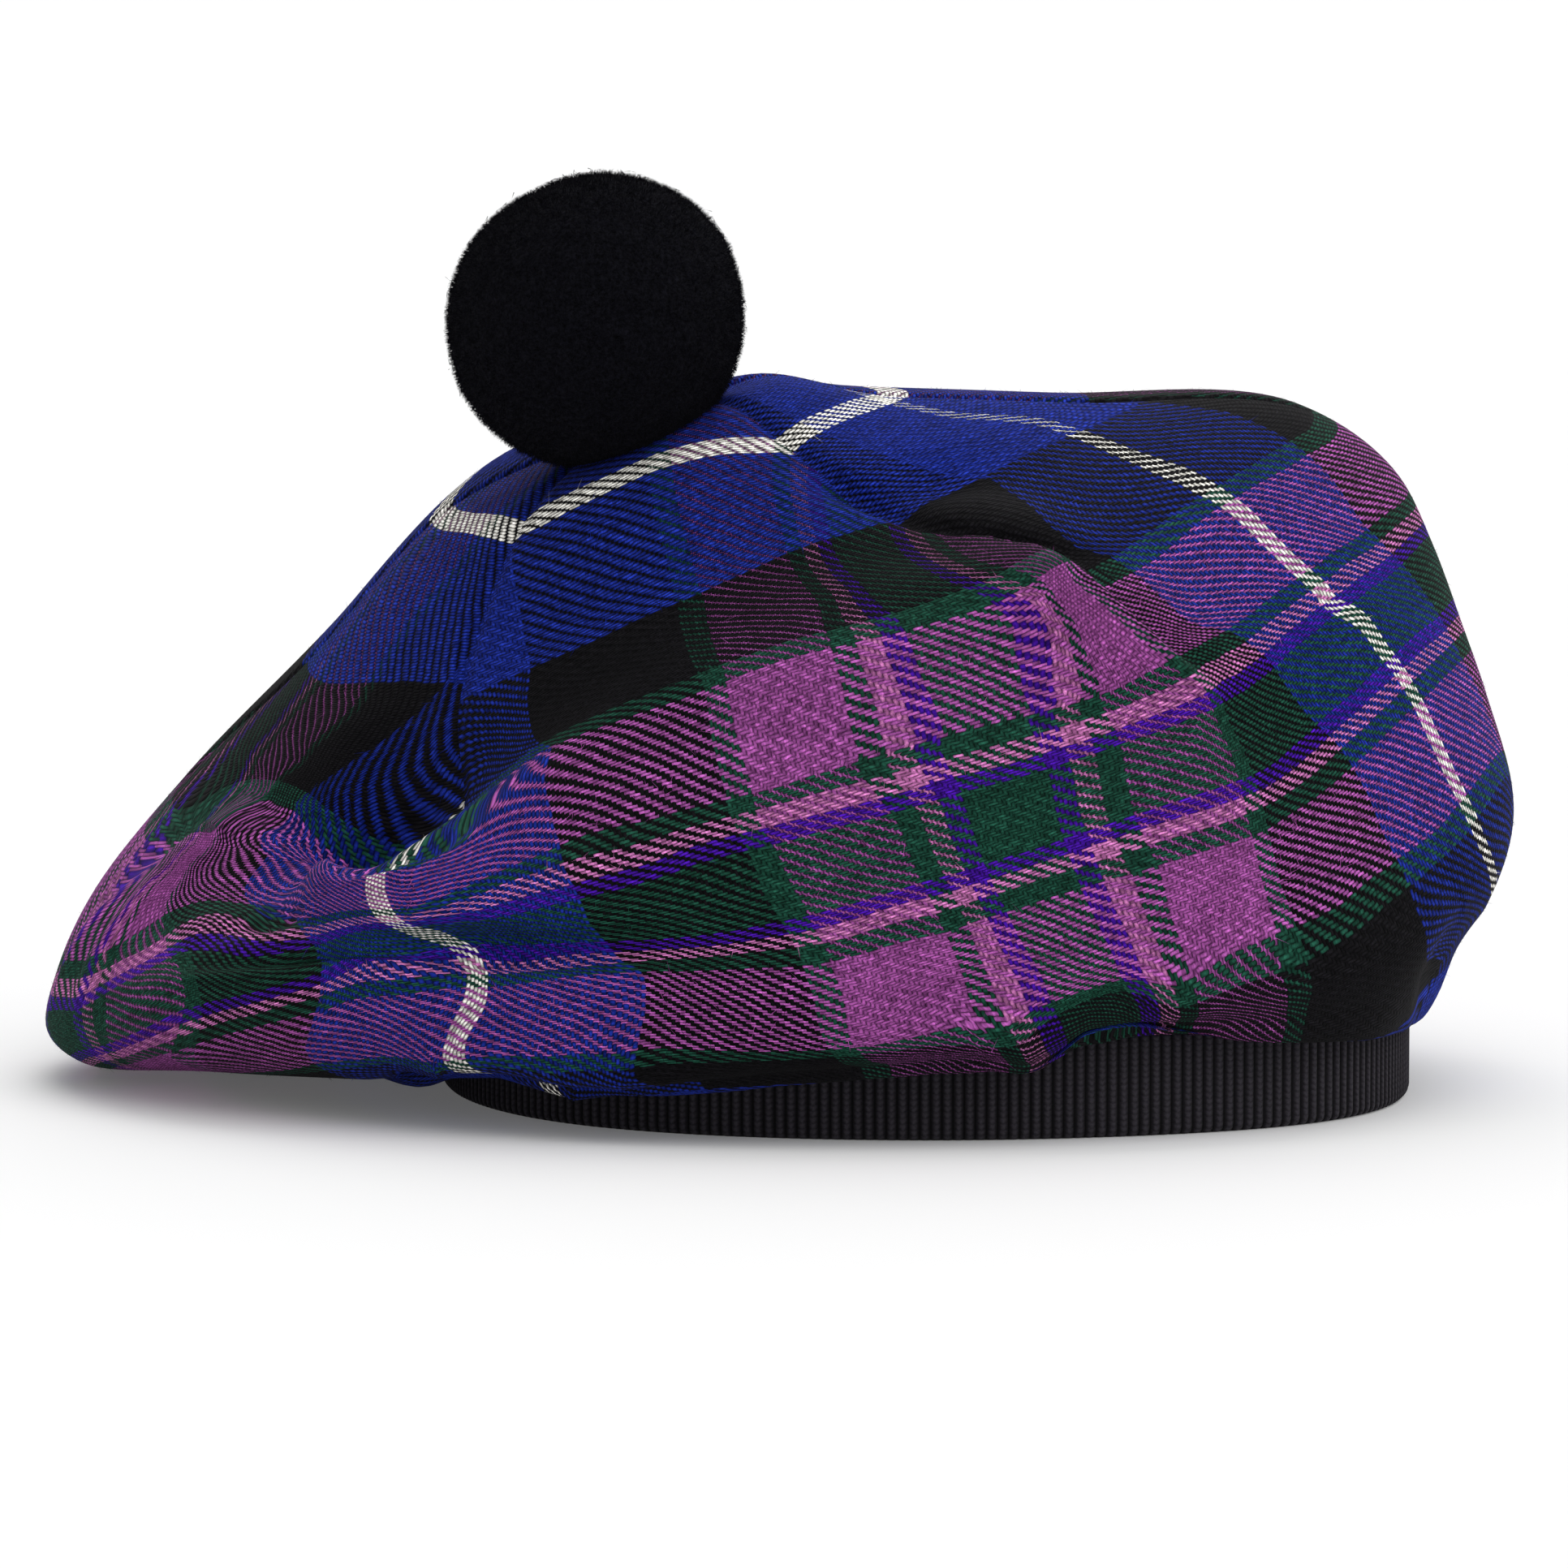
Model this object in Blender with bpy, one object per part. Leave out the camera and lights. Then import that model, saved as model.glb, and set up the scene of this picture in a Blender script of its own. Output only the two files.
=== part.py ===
"""Tam o' shanter: a slouched wool crown, a ribbed knitted headband and a round pompom.

Metres, +Z up. The origin is the centre of the head opening, on the surface that the headband rests on.
-Y is the side shown to the viewer, +X is to the viewer's right. An azimuth is 0 at -Y and 90 at +X.
Sizes below are in millimetres; MM turns them into metres.
"""

import math

import bmesh
import bpy
import numpy as np

MM = 0.001
GAP = 0.3  # clearance between pieces that touch

CLOTH_WALL = 2.0  # thickness of the crown's wool cloth
BAND_RADIUS = 91.5  # outside of the headband's ribs: 575 mm round
BAND_WALL = 3.2  # thickness of the knit
BAND_HEIGHT = 19.0
BAND_SWELLS = {"right_front": (52, 7.0), "left_front": (-44, 4.0)}  # azimuth, how far the band bows out
SWELL_SHARPNESS = 10  # power of the cosine that fades a bow out on both sides
RIB_COUNT = 285
RIB_DEPTH = 0.5

POMPOM_CENTRE = (-62.2, -3.0, 145.3)
POMPOM_RADIUS = 28.8
POMPOM_FLAT = (-0.62, -0.3, 0.72)  # where the ball is a little flatter
POMPOM_FLAT_SHARE = 0.03
POMPOM_FLAT_SHARPNESS = 8
LOCK_RISE = 0.9  # how far a lock of pile stands over the partings round it

# Hoops of the crown, from its peak down to the hem. "cloth" is the length of cloth from the peak. Each
# hoop is an ellipse seen from above, given by its outermost places, and its height at eight azimuths.
# "swell" is the share of the headband's bow that it takes, and "steps" the mesh rows since the hoop before.
HOOP_COLUMNS = (
    "cloth", "left", "right", "front", "back",
    "z_0", "z_45", "z_90", "z_135", "z_180", "z_225", "z_270", "z_315", "swell", "steps",
)
HOOPS = {
    "peak":          (0,   -54.5, -49.5, 12.5, 17.5, 126, 126, 126.5, 127, 126.5, 126, 125.5, 125.5, 0, 0),
    "white_stripe":  (41,  -93, -6, -21, 52,       117.5, 123, 130, 130.5, 126, 118, 106.5, 107, 0, 2),
    "blue_edge":     (72,  -119, 30, -42, 80,        95, 113, 129, 127, 116, 97, 77.5, 75, 0, 3),
    "black_edge":    (108, -145, 73.5, -68, 102,     81, 103, 127.5, 121, 100, 72, 52, 47, 0, 4),
    "magenta_edge":  (130, -160.5, 91.5, -85, 110,   65, 89.5, 115, 109, 86, 54, 33, 34.5, 0, 3),
    "violet_stripe": (145, -166, 98, -93, 113,       56, 78, 102, 96, 73, 40, 21, 31.5, 0, 2),
    "pivot_stripe":  (160, -168, 103.5, -99, 115,    44, 64, 87, 82, 61, 26, 9, 28, 0, 2),
    "pink_stripe":   (174, -161, 108, -103, 116,     35.5, 52, 74, 68, 48, 15, 2.5, 23, 0, 1),
    "green_stripe":  (198, -137, 113, -106, 114,     17.5, 33, 52, 45, 27, 8, 2.5, 10.5, 0, 2),
    "under_turn":    (225, -114, 103.5, -104, 108,   12, 22, 29.5, 29, 16, 9, 5.5, 8.5, 0.6, 3),
    "lip":           (246, -99, 93.8, -98.5, 98,     11.5, 15.5, 12.5, 13, 12, 11, 8.5, 8, 1, 3),
}

# Seams between the crown's six gores. Each runs from the peak and fades out at "end" of cloth, and drifts
# by "drift" degrees of azimuth on the way.
SEAM_COLUMNS = ("azimuth", "drift", "end", "columns_to_next")
SEAMS = (
    (-38, 7, 106, 14),
    (33, 6, 104, 13),
    (91, 0, 112, 9),
    (150, 0, 110, 8),
    (208, 0, 110, 9),
    (265, 0, 110, 15),
)
SEAM_GROOVE = 1.2  # depth of a seam's groove
SEAM_HALF_WIDTH = 3.0
SEAM_FADE = 12.0  # length of cloth over which a groove fades out
SEAM_DRIFT_POWER = 3
HEM_CLOTH = 8.0  # cloth turned in between the lip and the hem on the band's top edge
LIP_ROOM = 3.2  # how far the inner layer arches over the lip's fold

# Folds of the slouched cloth: a rise (or a dent, below zero) along the cloth's own normal. "along" and
# "across" are its half-lengths, and "turn" tips "along" from the hoop's direction towards the hem.
FOLD_COLUMNS = ("azimuth", "cloth", "turn", "along", "across", "rise")
FOLDS = {
    "pocket_at_left_seam": (-46, 99, 0, 23, 17, -16.5),
    "roll_left_arm":       (-51, 125, 25, 17, 9, 3.0),
    "roll_right_arm":      (-29, 122, -36, 24, 9, 4.0),
    "ridge_to_left_tip":   (-73, 128, -62, 22, 7, 3.0),
    "valley_over_puff":    (-27, 161, 13, 45, 8, -4.0),
    "puff_at_lip":         (-29, 208, 0, 18, 14, 3.0),
    "ridge_right_seam":    (35, 118, 61, 26, 9, 4.0),
    "dimple_right_seam":   (45, 64, 20, 11, 8, -3.0),
    "dent_right_front":    (42, 146, 30, 18, 9, -3.5),
    "bulge_at_pompom":     (55, 24, 0, 22, 14, 6.5),
    "peak_behind_pompom":  (120, 18, 0, 16, 16, 3.0),
    "tuck_at_lip":         (22, 238, 0, 14, 16, -6.0),
}


def swell(azimuth):
    """How far the headband bows out of its circle at an azimuth in degrees."""
    bow = np.zeros(np.shape(azimuth))
    for middle, reach in BAND_SWELLS.values():
        bow += reach * np.clip(np.cos(np.radians(azimuth - middle)), 0, None) ** SWELL_SHARPNESS
    return bow


def around(values, azimuth):
    """Smooth periodic curve through values at equal azimuths, read at azimuth."""
    count = len(values)
    place = np.asarray(azimuth, float) / 360 * count
    first = np.floor(place).astype(int)
    share = place - first
    before, start, end, after = (np.asarray(values)[(first + k) % count] for k in (-1, 0, 1, 2))
    return hermite(start, end, (end - before) / 2, (after - start) / 2, share)


def hermite(start, end, start_slope, end_slope, share):
    square, cube = share**2, share**3
    return (
        (2 * cube - 3 * square + 1) * start
        + (cube - 2 * square + share) * start_slope
        + (3 * square - 2 * cube) * end
        + (cube - square) * end_slope
    )


def along(stations, points, at):
    """Smooth curve through points (one for each station), read at the lengths in at."""
    stations = np.asarray(stations, float)
    shape = (-1,) + (1,) * (points.ndim - 1)
    steps = np.diff(stations).reshape(shape)
    chords = np.diff(points, axis=0) / steps
    slopes = np.concatenate([chords[:1], chords, chords[-1:]])
    weight = np.concatenate([steps[:1], steps, steps[-1:]])
    slopes = (slopes[:-1] * weight[1:] + slopes[1:] * weight[:-1]) / (weight[:-1] + weight[1:])
    index = np.clip(np.searchsorted(stations, at, side="right") - 1, 0, len(stations) - 2)
    length = np.diff(stations)[index].reshape(shape)
    share = (np.asarray(at) - stations[index]).reshape(shape) / length
    leaving, arriving = slopes[index] * length, slopes[index + 1] * length
    return hermite(points[index], points[index + 1], leaving, arriving, share)


def hoop_points(azimuth):
    """Points of every hoop, the hem last, at the azimuths: an array of hoops x azimuths x 3."""
    turn = np.radians(azimuth)
    hoops = []
    for row in HOOPS.values():
        cell = dict(zip(HOOP_COLUMNS, row))
        heights = [cell[name] for name in HOOP_COLUMNS if name.startswith("z_")]
        middle = (cell["left"] + cell["right"]) / 2, (cell["front"] + cell["back"]) / 2
        half = (cell["right"] - cell["left"]) / 2, (cell["back"] - cell["front"]) / 2
        bow = cell["swell"] * swell(azimuth)
        hoops.append(np.stack([
            middle[0] + (half[0] + bow) * np.sin(turn),
            middle[1] - (half[1] + bow) * np.cos(turn),
            around(heights, azimuth),
        ], axis=-1))
    radius = BAND_RADIUS + swell(azimuth)
    height = np.full(len(azimuth), BAND_HEIGHT + GAP)
    hoops.append(np.stack([radius * np.sin(turn), -radius * np.cos(turn), height], axis=-1))
    return np.array(hoops)


def stations():
    """Length of cloth from the peak to each hoop and to the hem."""
    lengths = [row[0] for row in HOOPS.values()]
    return lengths + [lengths[-1] + HEM_CLOTH]


def normals(grid):
    """Outward unit normals of a grid of rows (peak to hem) x azimuths."""
    down = np.gradient(grid, axis=0)
    right = np.roll(grid, -1, axis=1) - np.roll(grid, 1, axis=1)
    out = np.cross(down, right)
    return out / np.linalg.norm(out, axis=-1, keepdims=True)


def turned(difference):
    """An angle in degrees brought between -180 and 180."""
    return (difference + 180) % 360 - 180


def fold_rise(azimuth, cloth, hoop_radius):
    """Rise of all folds and seam grooves on the grid of cloth lengths x azimuths."""
    rise = np.zeros(hoop_radius.shape)
    for row in FOLDS.values():
        fold = dict(zip(FOLD_COLUMNS, row))
        across_hoops = (cloth[:, None] - fold["cloth"]) * np.ones_like(rise)
        along_hoop = np.radians(turned(azimuth - fold["azimuth"]))[None, :] * hoop_radius
        turn = math.radians(fold["turn"])
        length = along_hoop * math.cos(turn) + across_hoops * math.sin(turn)
        width = across_hoops * math.cos(turn) - along_hoop * math.sin(turn)
        rise += fold["rise"] * np.exp(-((length / fold["along"]) ** 2) - (width / fold["across"]) ** 2)
    for row in SEAMS:
        seam = dict(zip(SEAM_COLUMNS, row))
        place = seam["azimuth"] + seam["drift"] * (cloth / seam["end"])[:, None] ** SEAM_DRIFT_POWER
        beside = np.radians(turned(azimuth[None, :] - place)) * hoop_radius
        fade = np.clip((seam["end"] - cloth) / SEAM_FADE, 0, 1)[:, None]
        rise -= SEAM_GROOVE * fade * np.exp(-((beside / SEAM_HALF_WIDTH) ** 2))
    return rise


def crown_surface(azimuth, cloth):
    """The cloth's outer face: an array of cloth lengths x azimuths x 3."""
    grid = along(stations(), hoop_points(azimuth), cloth)
    middle = grid.mean(axis=1, keepdims=True)
    hoop_radius = np.linalg.norm((grid - middle)[..., :2], axis=-1)
    rise = fold_rise(azimuth, cloth, hoop_radius)
    rise[-1] = 0
    return grid + normals(grid) * rise[..., None]


def crown_azimuths():
    """Azimuths of the crown's mesh, closer together in the gores that face the viewer."""
    turns = []
    for row, after in zip(SEAMS, SEAMS[1:] + ((SEAMS[0][0] + 360,),)):
        turns.extend(np.linspace(row[0], after[0], row[-1], endpoint=False))
    return np.array(turns)


def crown_cloth_lengths():
    """Cloth lengths of the crown mesh's rows, with the steps that each hoop asks for."""
    lengths, last = [0.0], 0.0
    for row in HOOPS.values():
        lengths.extend(np.linspace(last, row[0], row[-1] + 1)[1:])
        last = row[0]
    return np.array(lengths + [stations()[-1]])


def material(name, color, roughness):
    made = bpy.data.materials.new(name)
    made.use_nodes = True
    shader = made.node_tree.nodes["Principled BSDF"]
    shader.inputs["Base Color"].default_value = (*color, 1)
    shader.inputs["Roughness"].default_value = roughness
    shader.inputs["Metallic"].default_value = 0
    return made


def mesh_object(name, points, faces, made_of, collection):
    mesh = bpy.data.meshes.new(name)
    mesh.from_pydata([tuple(point) for point in np.asarray(points) * MM], [], faces)
    mesh.materials.append(made_of)
    mesh.shade_smooth()
    made = bpy.data.objects.new(name, mesh)
    collection.objects.link(made)
    return made


def grid_faces(first, rows, columns, flip):
    """Quads between the rows of a closed grid whose first vertex has the index first."""
    faces = []
    for row in range(rows - 1):
        for column in range(columns):
            after = (column + 1) % columns
            here, below = first + row * columns, first + (row + 1) * columns
            quad = (here + column, below + column, below + after, here + after)
            faces.append(quad[::-1] if flip else quad)
    return faces


def cap_faces(ring, centre, flip):
    """Triangles from a ring of vertex indices to the vertex at its centre."""
    faces = [(centre, a, b) for a, b in zip(ring, ring[1:] + ring[:1])]
    return [face[::-1] for face in faces] if flip else faces


def inner_surface(outer, azimuth):
    """The cloth's inner face. Past the under-turn it runs straight to the hem, behind the lip's fold."""
    inner = outer - normals(outer) * CLOTH_WALL
    hem_radius = BAND_RADIUS - BAND_WALL + GAP + swell(azimuth)
    turn = np.radians(azimuth)
    hem = np.stack([hem_radius * np.sin(turn), -hem_radius * np.cos(turn), outer[-1, :, 2]], axis=-1)
    fold_rows = HOOPS["lip"][-1] + 1
    start = inner[-1 - fold_rows]
    for step in range(1, fold_rows + 1):
        share = step / fold_rows
        rising = np.array([0, 0, LIP_ROOM * math.sin(math.pi * share)])
        inner[-1 - fold_rows + step] = start * (1 - share) + hem * share + rising
    return inner


def make_crown(collection):
    azimuth = crown_azimuths()
    outer = crown_surface(azimuth, crown_cloth_lengths())
    inner = inner_surface(outer, azimuth)
    rows, columns = outer.shape[:2]
    ring = list(range(columns))
    points = np.concatenate([outer.reshape(-1, 3), inner.reshape(-1, 3)])
    peaks = np.array([outer[0].mean(axis=0), inner[0].mean(axis=0)])
    inside = rows * columns
    hem_out, hem_in = inside - columns, 2 * inside - columns
    faces = grid_faces(0, rows, columns, flip=False) + grid_faces(inside, rows, columns, flip=True)
    faces += cap_faces(ring, 2 * inside, flip=False)
    faces += cap_faces([inside + k for k in ring], 2 * inside + 1, flip=True)
    for k in ring:
        after = (k + 1) % columns
        faces.append((hem_out + k, hem_in + k, hem_in + after, hem_out + after))
    wool = material("tartan_wool", (0.06, 0.05, 0.16), 0.9)
    return mesh_object("crown", np.concatenate([points, peaks]), faces, wool, collection)


def make_crown_envelope(collection):
    """A solid of the crown's outside, grown by the gap, that cuts the pompom's seat."""
    azimuth = crown_azimuths()
    outer = crown_surface(azimuth, crown_cloth_lengths())
    outer = outer + normals(outer) * GAP
    rows, columns = outer.shape[:2]
    last = (rows - 1) * columns
    ends = np.array([outer[0].mean(axis=0), outer[-1].mean(axis=0)])
    faces = grid_faces(0, rows, columns, flip=False)
    faces += cap_faces(list(range(columns)), rows * columns, flip=False)
    faces += cap_faces([last + k for k in range(columns)], rows * columns + 1, flip=True)
    grey = material("cutter", (0.5, 0.5, 0.5), 1.0)
    points = np.concatenate([outer.reshape(-1, 3), ends])
    made = mesh_object("crown_envelope", points, faces, grey, collection)
    made.hide_render = True
    made.display_type = "WIRE"
    return made


def closed_spline(curve, points):
    spline = curve.splines.new("POLY")
    spline.points.add(len(points) - 1)
    for target, (x, y) in zip(spline.points, points):
        target.co = (x * MM, y * MM, 0, 1)
    spline.use_cyclic_u = True


def make_headband(collection):
    """A flat ring whose outline rises and falls once a rib, extruded to the band's height."""
    curve = bpy.data.curves.new("headband", "CURVE")
    curve.dimensions = "2D"
    curve.fill_mode = "BOTH"
    curve.extrude = BAND_HEIGHT / 2 * MM
    for count, radius, relief in (
        (2 * RIB_COUNT, BAND_RADIUS, RIB_DEPTH),
        (RIB_COUNT // 3, BAND_RADIUS - BAND_WALL, 0),
    ):
        azimuth = np.arange(count) * 360 / count
        reach = radius + swell(azimuth) - relief * (np.arange(count) % 2)
        turn = np.radians(azimuth)
        closed_spline(curve, np.stack([reach * np.sin(turn), -reach * np.cos(turn)], axis=-1))
    curve.materials.append(material("ribbed_knit", (0.02, 0.016, 0.02), 0.95))
    made = bpy.data.objects.new("headband", curve)
    made.location.z = BAND_HEIGHT / 2 * MM
    collection.objects.link(made)
    return made


def pompom_radius(direction):
    """The shorn ball is a little flatter on its upper left."""
    toward = float(np.dot(direction, POMPOM_FLAT)) / np.linalg.norm(POMPOM_FLAT)
    return POMPOM_RADIUS * (1 - POMPOM_FLAT_SHARE * max(0.0, toward) ** POMPOM_FLAT_SHARPNESS)


def make_pompom(collection, envelope):
    """A ball of shorn pile. Its locks stand at the first points of an icosphere, and the points that one more
    subdivision adds between them lie in the partings. The crown's envelope cuts its seat."""
    shape = bmesh.new()
    bmesh.ops.create_icosphere(shape, subdivisions=3, radius=1)
    split = bmesh.ops.subdivide_edges(shape, edges=shape.edges, cuts=1, use_grid_fill=True)
    partings = set(split["geom_inner"])
    for vertex in shape.verts:
        direction = np.array(vertex.co.normalized())
        reach = pompom_radius(direction) - (LOCK_RISE if vertex in partings else 0)
        vertex.co = direction * reach * MM
    mesh = bpy.data.meshes.new("pompom")
    shape.to_mesh(mesh)
    shape.free()
    mesh.materials.append(material("pompom_pile", (0.006, 0.006, 0.009), 1.0))
    mesh.shade_smooth()
    made = bpy.data.objects.new("pompom", mesh)
    made.location = [c * MM for c in POMPOM_CENTRE]
    collection.objects.link(made)
    seat = made.modifiers.new("cut_seat", "BOOLEAN")
    seat.operation = "DIFFERENCE"
    seat.object = envelope
    return made


def new_collection(name):
    made = bpy.data.collections.new(name)
    bpy.context.scene.collection.children.link(made)
    return made


def clear_scene():
    for old in list(bpy.data.objects):
        bpy.data.objects.remove(old, do_unlink=True)


def main():
    clear_scene()
    hat = new_collection("tam_o_shanter")
    cutters = new_collection("cutters")
    make_crown(hat)
    make_headband(hat)
    make_pompom(hat, make_crown_envelope(cutters))


main()
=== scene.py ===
"""Looks for the tam o' shanter: checked twill for the crown, ribbed knit for the band, shorn pile for the pompom.

Metres, +Z up, -Y towards the viewer, in the frame of the CAD model. Tables are in millimetres and degrees.
"""

import math

import bpy
import numpy as np
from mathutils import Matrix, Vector
from mathutils.bvhtree import BVHTree


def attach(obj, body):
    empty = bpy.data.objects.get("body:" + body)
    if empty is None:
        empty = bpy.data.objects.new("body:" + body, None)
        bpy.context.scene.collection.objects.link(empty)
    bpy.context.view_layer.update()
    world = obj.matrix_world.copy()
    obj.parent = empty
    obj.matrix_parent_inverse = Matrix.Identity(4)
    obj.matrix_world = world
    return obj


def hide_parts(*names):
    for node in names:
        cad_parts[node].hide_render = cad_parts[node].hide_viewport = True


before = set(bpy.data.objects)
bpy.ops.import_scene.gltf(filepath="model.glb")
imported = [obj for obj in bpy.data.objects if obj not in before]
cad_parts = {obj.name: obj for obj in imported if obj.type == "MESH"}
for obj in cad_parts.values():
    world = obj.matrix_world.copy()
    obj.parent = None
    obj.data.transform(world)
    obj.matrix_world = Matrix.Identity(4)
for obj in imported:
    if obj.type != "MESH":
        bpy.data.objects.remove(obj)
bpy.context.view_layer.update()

MM = 0.001
IMAGE_SIDE = 1932  # pixels across the square picture

# The camera that the photograph was taken with, as fitted to the headband's ellipse and the crown's outline.
CAMERA_TARGET = (-26.4, 0.0, 56.6)
CAMERA_DISTANCE = 1500.0
CAMERA_ELEVATION = 5.0
PIXELS_PER_MM = 6.45
SENSOR = 36.0
CAMERA_REACH = 20.0  # metres

# ---------------------------------------------------------------- the crown's form, as in the CAD source
GAP = 0.3
CLOTH_WALL = 2.0
BAND_RADIUS = 91.5
BAND_WALL = 3.2
BAND_HEIGHT = 19.0
BAND_SWELLS = {"right_front": (52, 7.0), "left_front": (-44, 4.0)}
SWELL_SHARPNESS = 10
RIB_COUNT = 285
RIB_DEPTH = 0.5
HEM_CLOTH = 8.0
LIP_ROOM = 3.2

HOOP_COLUMNS = (
    "cloth", "left", "right", "front", "back",
    "z_0", "z_45", "z_90", "z_135", "z_180", "z_225", "z_270", "z_315", "swell",
)
HOOPS = {
    "peak":          (0,   -54.5, -49.5, 12.5, 17.5, 126, 126, 126.5, 127, 126.5, 126, 125.5, 125.5, 0),
    "white_stripe":  (41,  -93, -6, -21, 52,       117.5, 123, 130, 130.5, 126, 118, 106.5, 107, 0),
    "blue_edge":     (72,  -119, 30, -42, 80,        95, 113, 129, 127, 116, 97, 77.5, 75, 0),
    "black_edge":    (108, -145, 73.5, -68, 102,     81, 103, 127.5, 121, 100, 72, 52, 47, 0),
    "magenta_edge":  (130, -160.5, 91.5, -85, 110,   65, 89.5, 115, 109, 86, 54, 33, 34.5, 0),
    "violet_stripe": (145, -166, 98, -93, 113,       56, 78, 102, 96, 73, 40, 21, 31.5, 0),
    "pivot_stripe":  (160, -168, 103.5, -99, 115,    44, 64, 87, 82, 61, 26, 9, 28, 0),
    "pink_stripe":   (174, -161, 108, -103, 116,     35.5, 52, 74, 68, 48, 15, 2.5, 23, 0),
    "green_stripe":  (198, -137, 113, -106, 114,     17.5, 33, 52, 45, 27, 8, 2.5, 10.5, 0),
    "under_turn":    (225, -114, 103.5, -104, 108,   12, 22, 29.5, 29, 16, 9, 5.5, 8.5, 0.6),
    "lip":           (246, -99, 93.8, -98.5, 98,     11.5, 15.5, 12.5, 13, 12, 11, 8.5, 8, 1),
}

SEAM_COLUMNS = ("azimuth", "drift", "end", "columns_to_next")
SEAMS = (
    (-38, 7, 106, 110),
    (33, 6, 104, 100),
    (91, 0, 112, 76),
    (150, 0, 110, 60),
    (208, 0, 110, 62),
    (265, 0, 110, 92),
)
SEAM_DRIFT_POWER = 3
SEAM_GROOVE = 1.3
SEAM_HALF_WIDTH = 1.8
SEAM_FADE = 12.0

FOLD_COLUMNS = ("azimuth", "cloth", "turn", "along", "across", "rise")
FOLDS = {
    "pocket_at_left_seam": (-46, 99, 0, 23, 17, -16.5),
    "roll_left_arm":       (-51, 125, 25, 17, 9, 3.0),
    "roll_right_arm":      (-29, 122, -36, 24, 9, 4.0),
    "ridge_to_left_tip":   (-73, 128, -62, 22, 7, 3.0),
    "valley_over_puff":    (-27, 161, 13, 45, 8, -4.0),
    "puff_at_lip":         (-29, 208, 0, 18, 14, 3.0),
    "ridge_right_seam":    (35, 118, 61, 26, 9, 4.0),
    "dimple_right_seam":   (45, 64, 20, 11, 8, -3.0),
    "dent_right_front":    (42, 146, 30, 18, 9, -3.5),
    "bulge_at_pompom":     (55, 24, 0, 22, 14, 6.5),
    "peak_behind_pompom":  (120, 18, 0, 16, 16, 3.0),
    "tuck_at_lip":         (22, 238, 0, 14, 16, -6.0),
}
ROW_STEP = 1.75  # cloth between the mesh rows of the crown's outer face

# ---------------------------------------------------------------- the cloth
WARP_PITCH = 0.84  # width of one thread that runs from the peak to the hem
WEFT_PITCH = 0.65  # width of one thread that runs round the crown
HALF_SETT = 112.6  # from the middle of a white stripe to the middle of the next wide green one, round the crown
HOOP_HALF_SETT = 111.0  # the same from the peak to the hem
FIRST_WHITE_HOOP = 41.0
GORE_WIDTH = 133.0
MIDDLE_GORE_CENTRE = 66.5  # the sett's zero is the white stripe at the left seam's end
# Half the width of a gore at lengths of cloth from the peak.
GORE_SHAPE = ((0, 0), (41, 23.5), (72, 46), (112, GORE_WIDTH / 2))
GORES_END = SEAMS[0][2]  # the cloth at which the seam at the left ends
# Gores by their number from the middle one, to the viewer's right. The check doesn't meet at the back seam.
LEFT, MIDDLE, RIGHT = -1, 0, 1
GORE_NUMBERS = (0, 1, 2, -3, -2, -1)  # of the gores that start at each row of SEAMS

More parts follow.
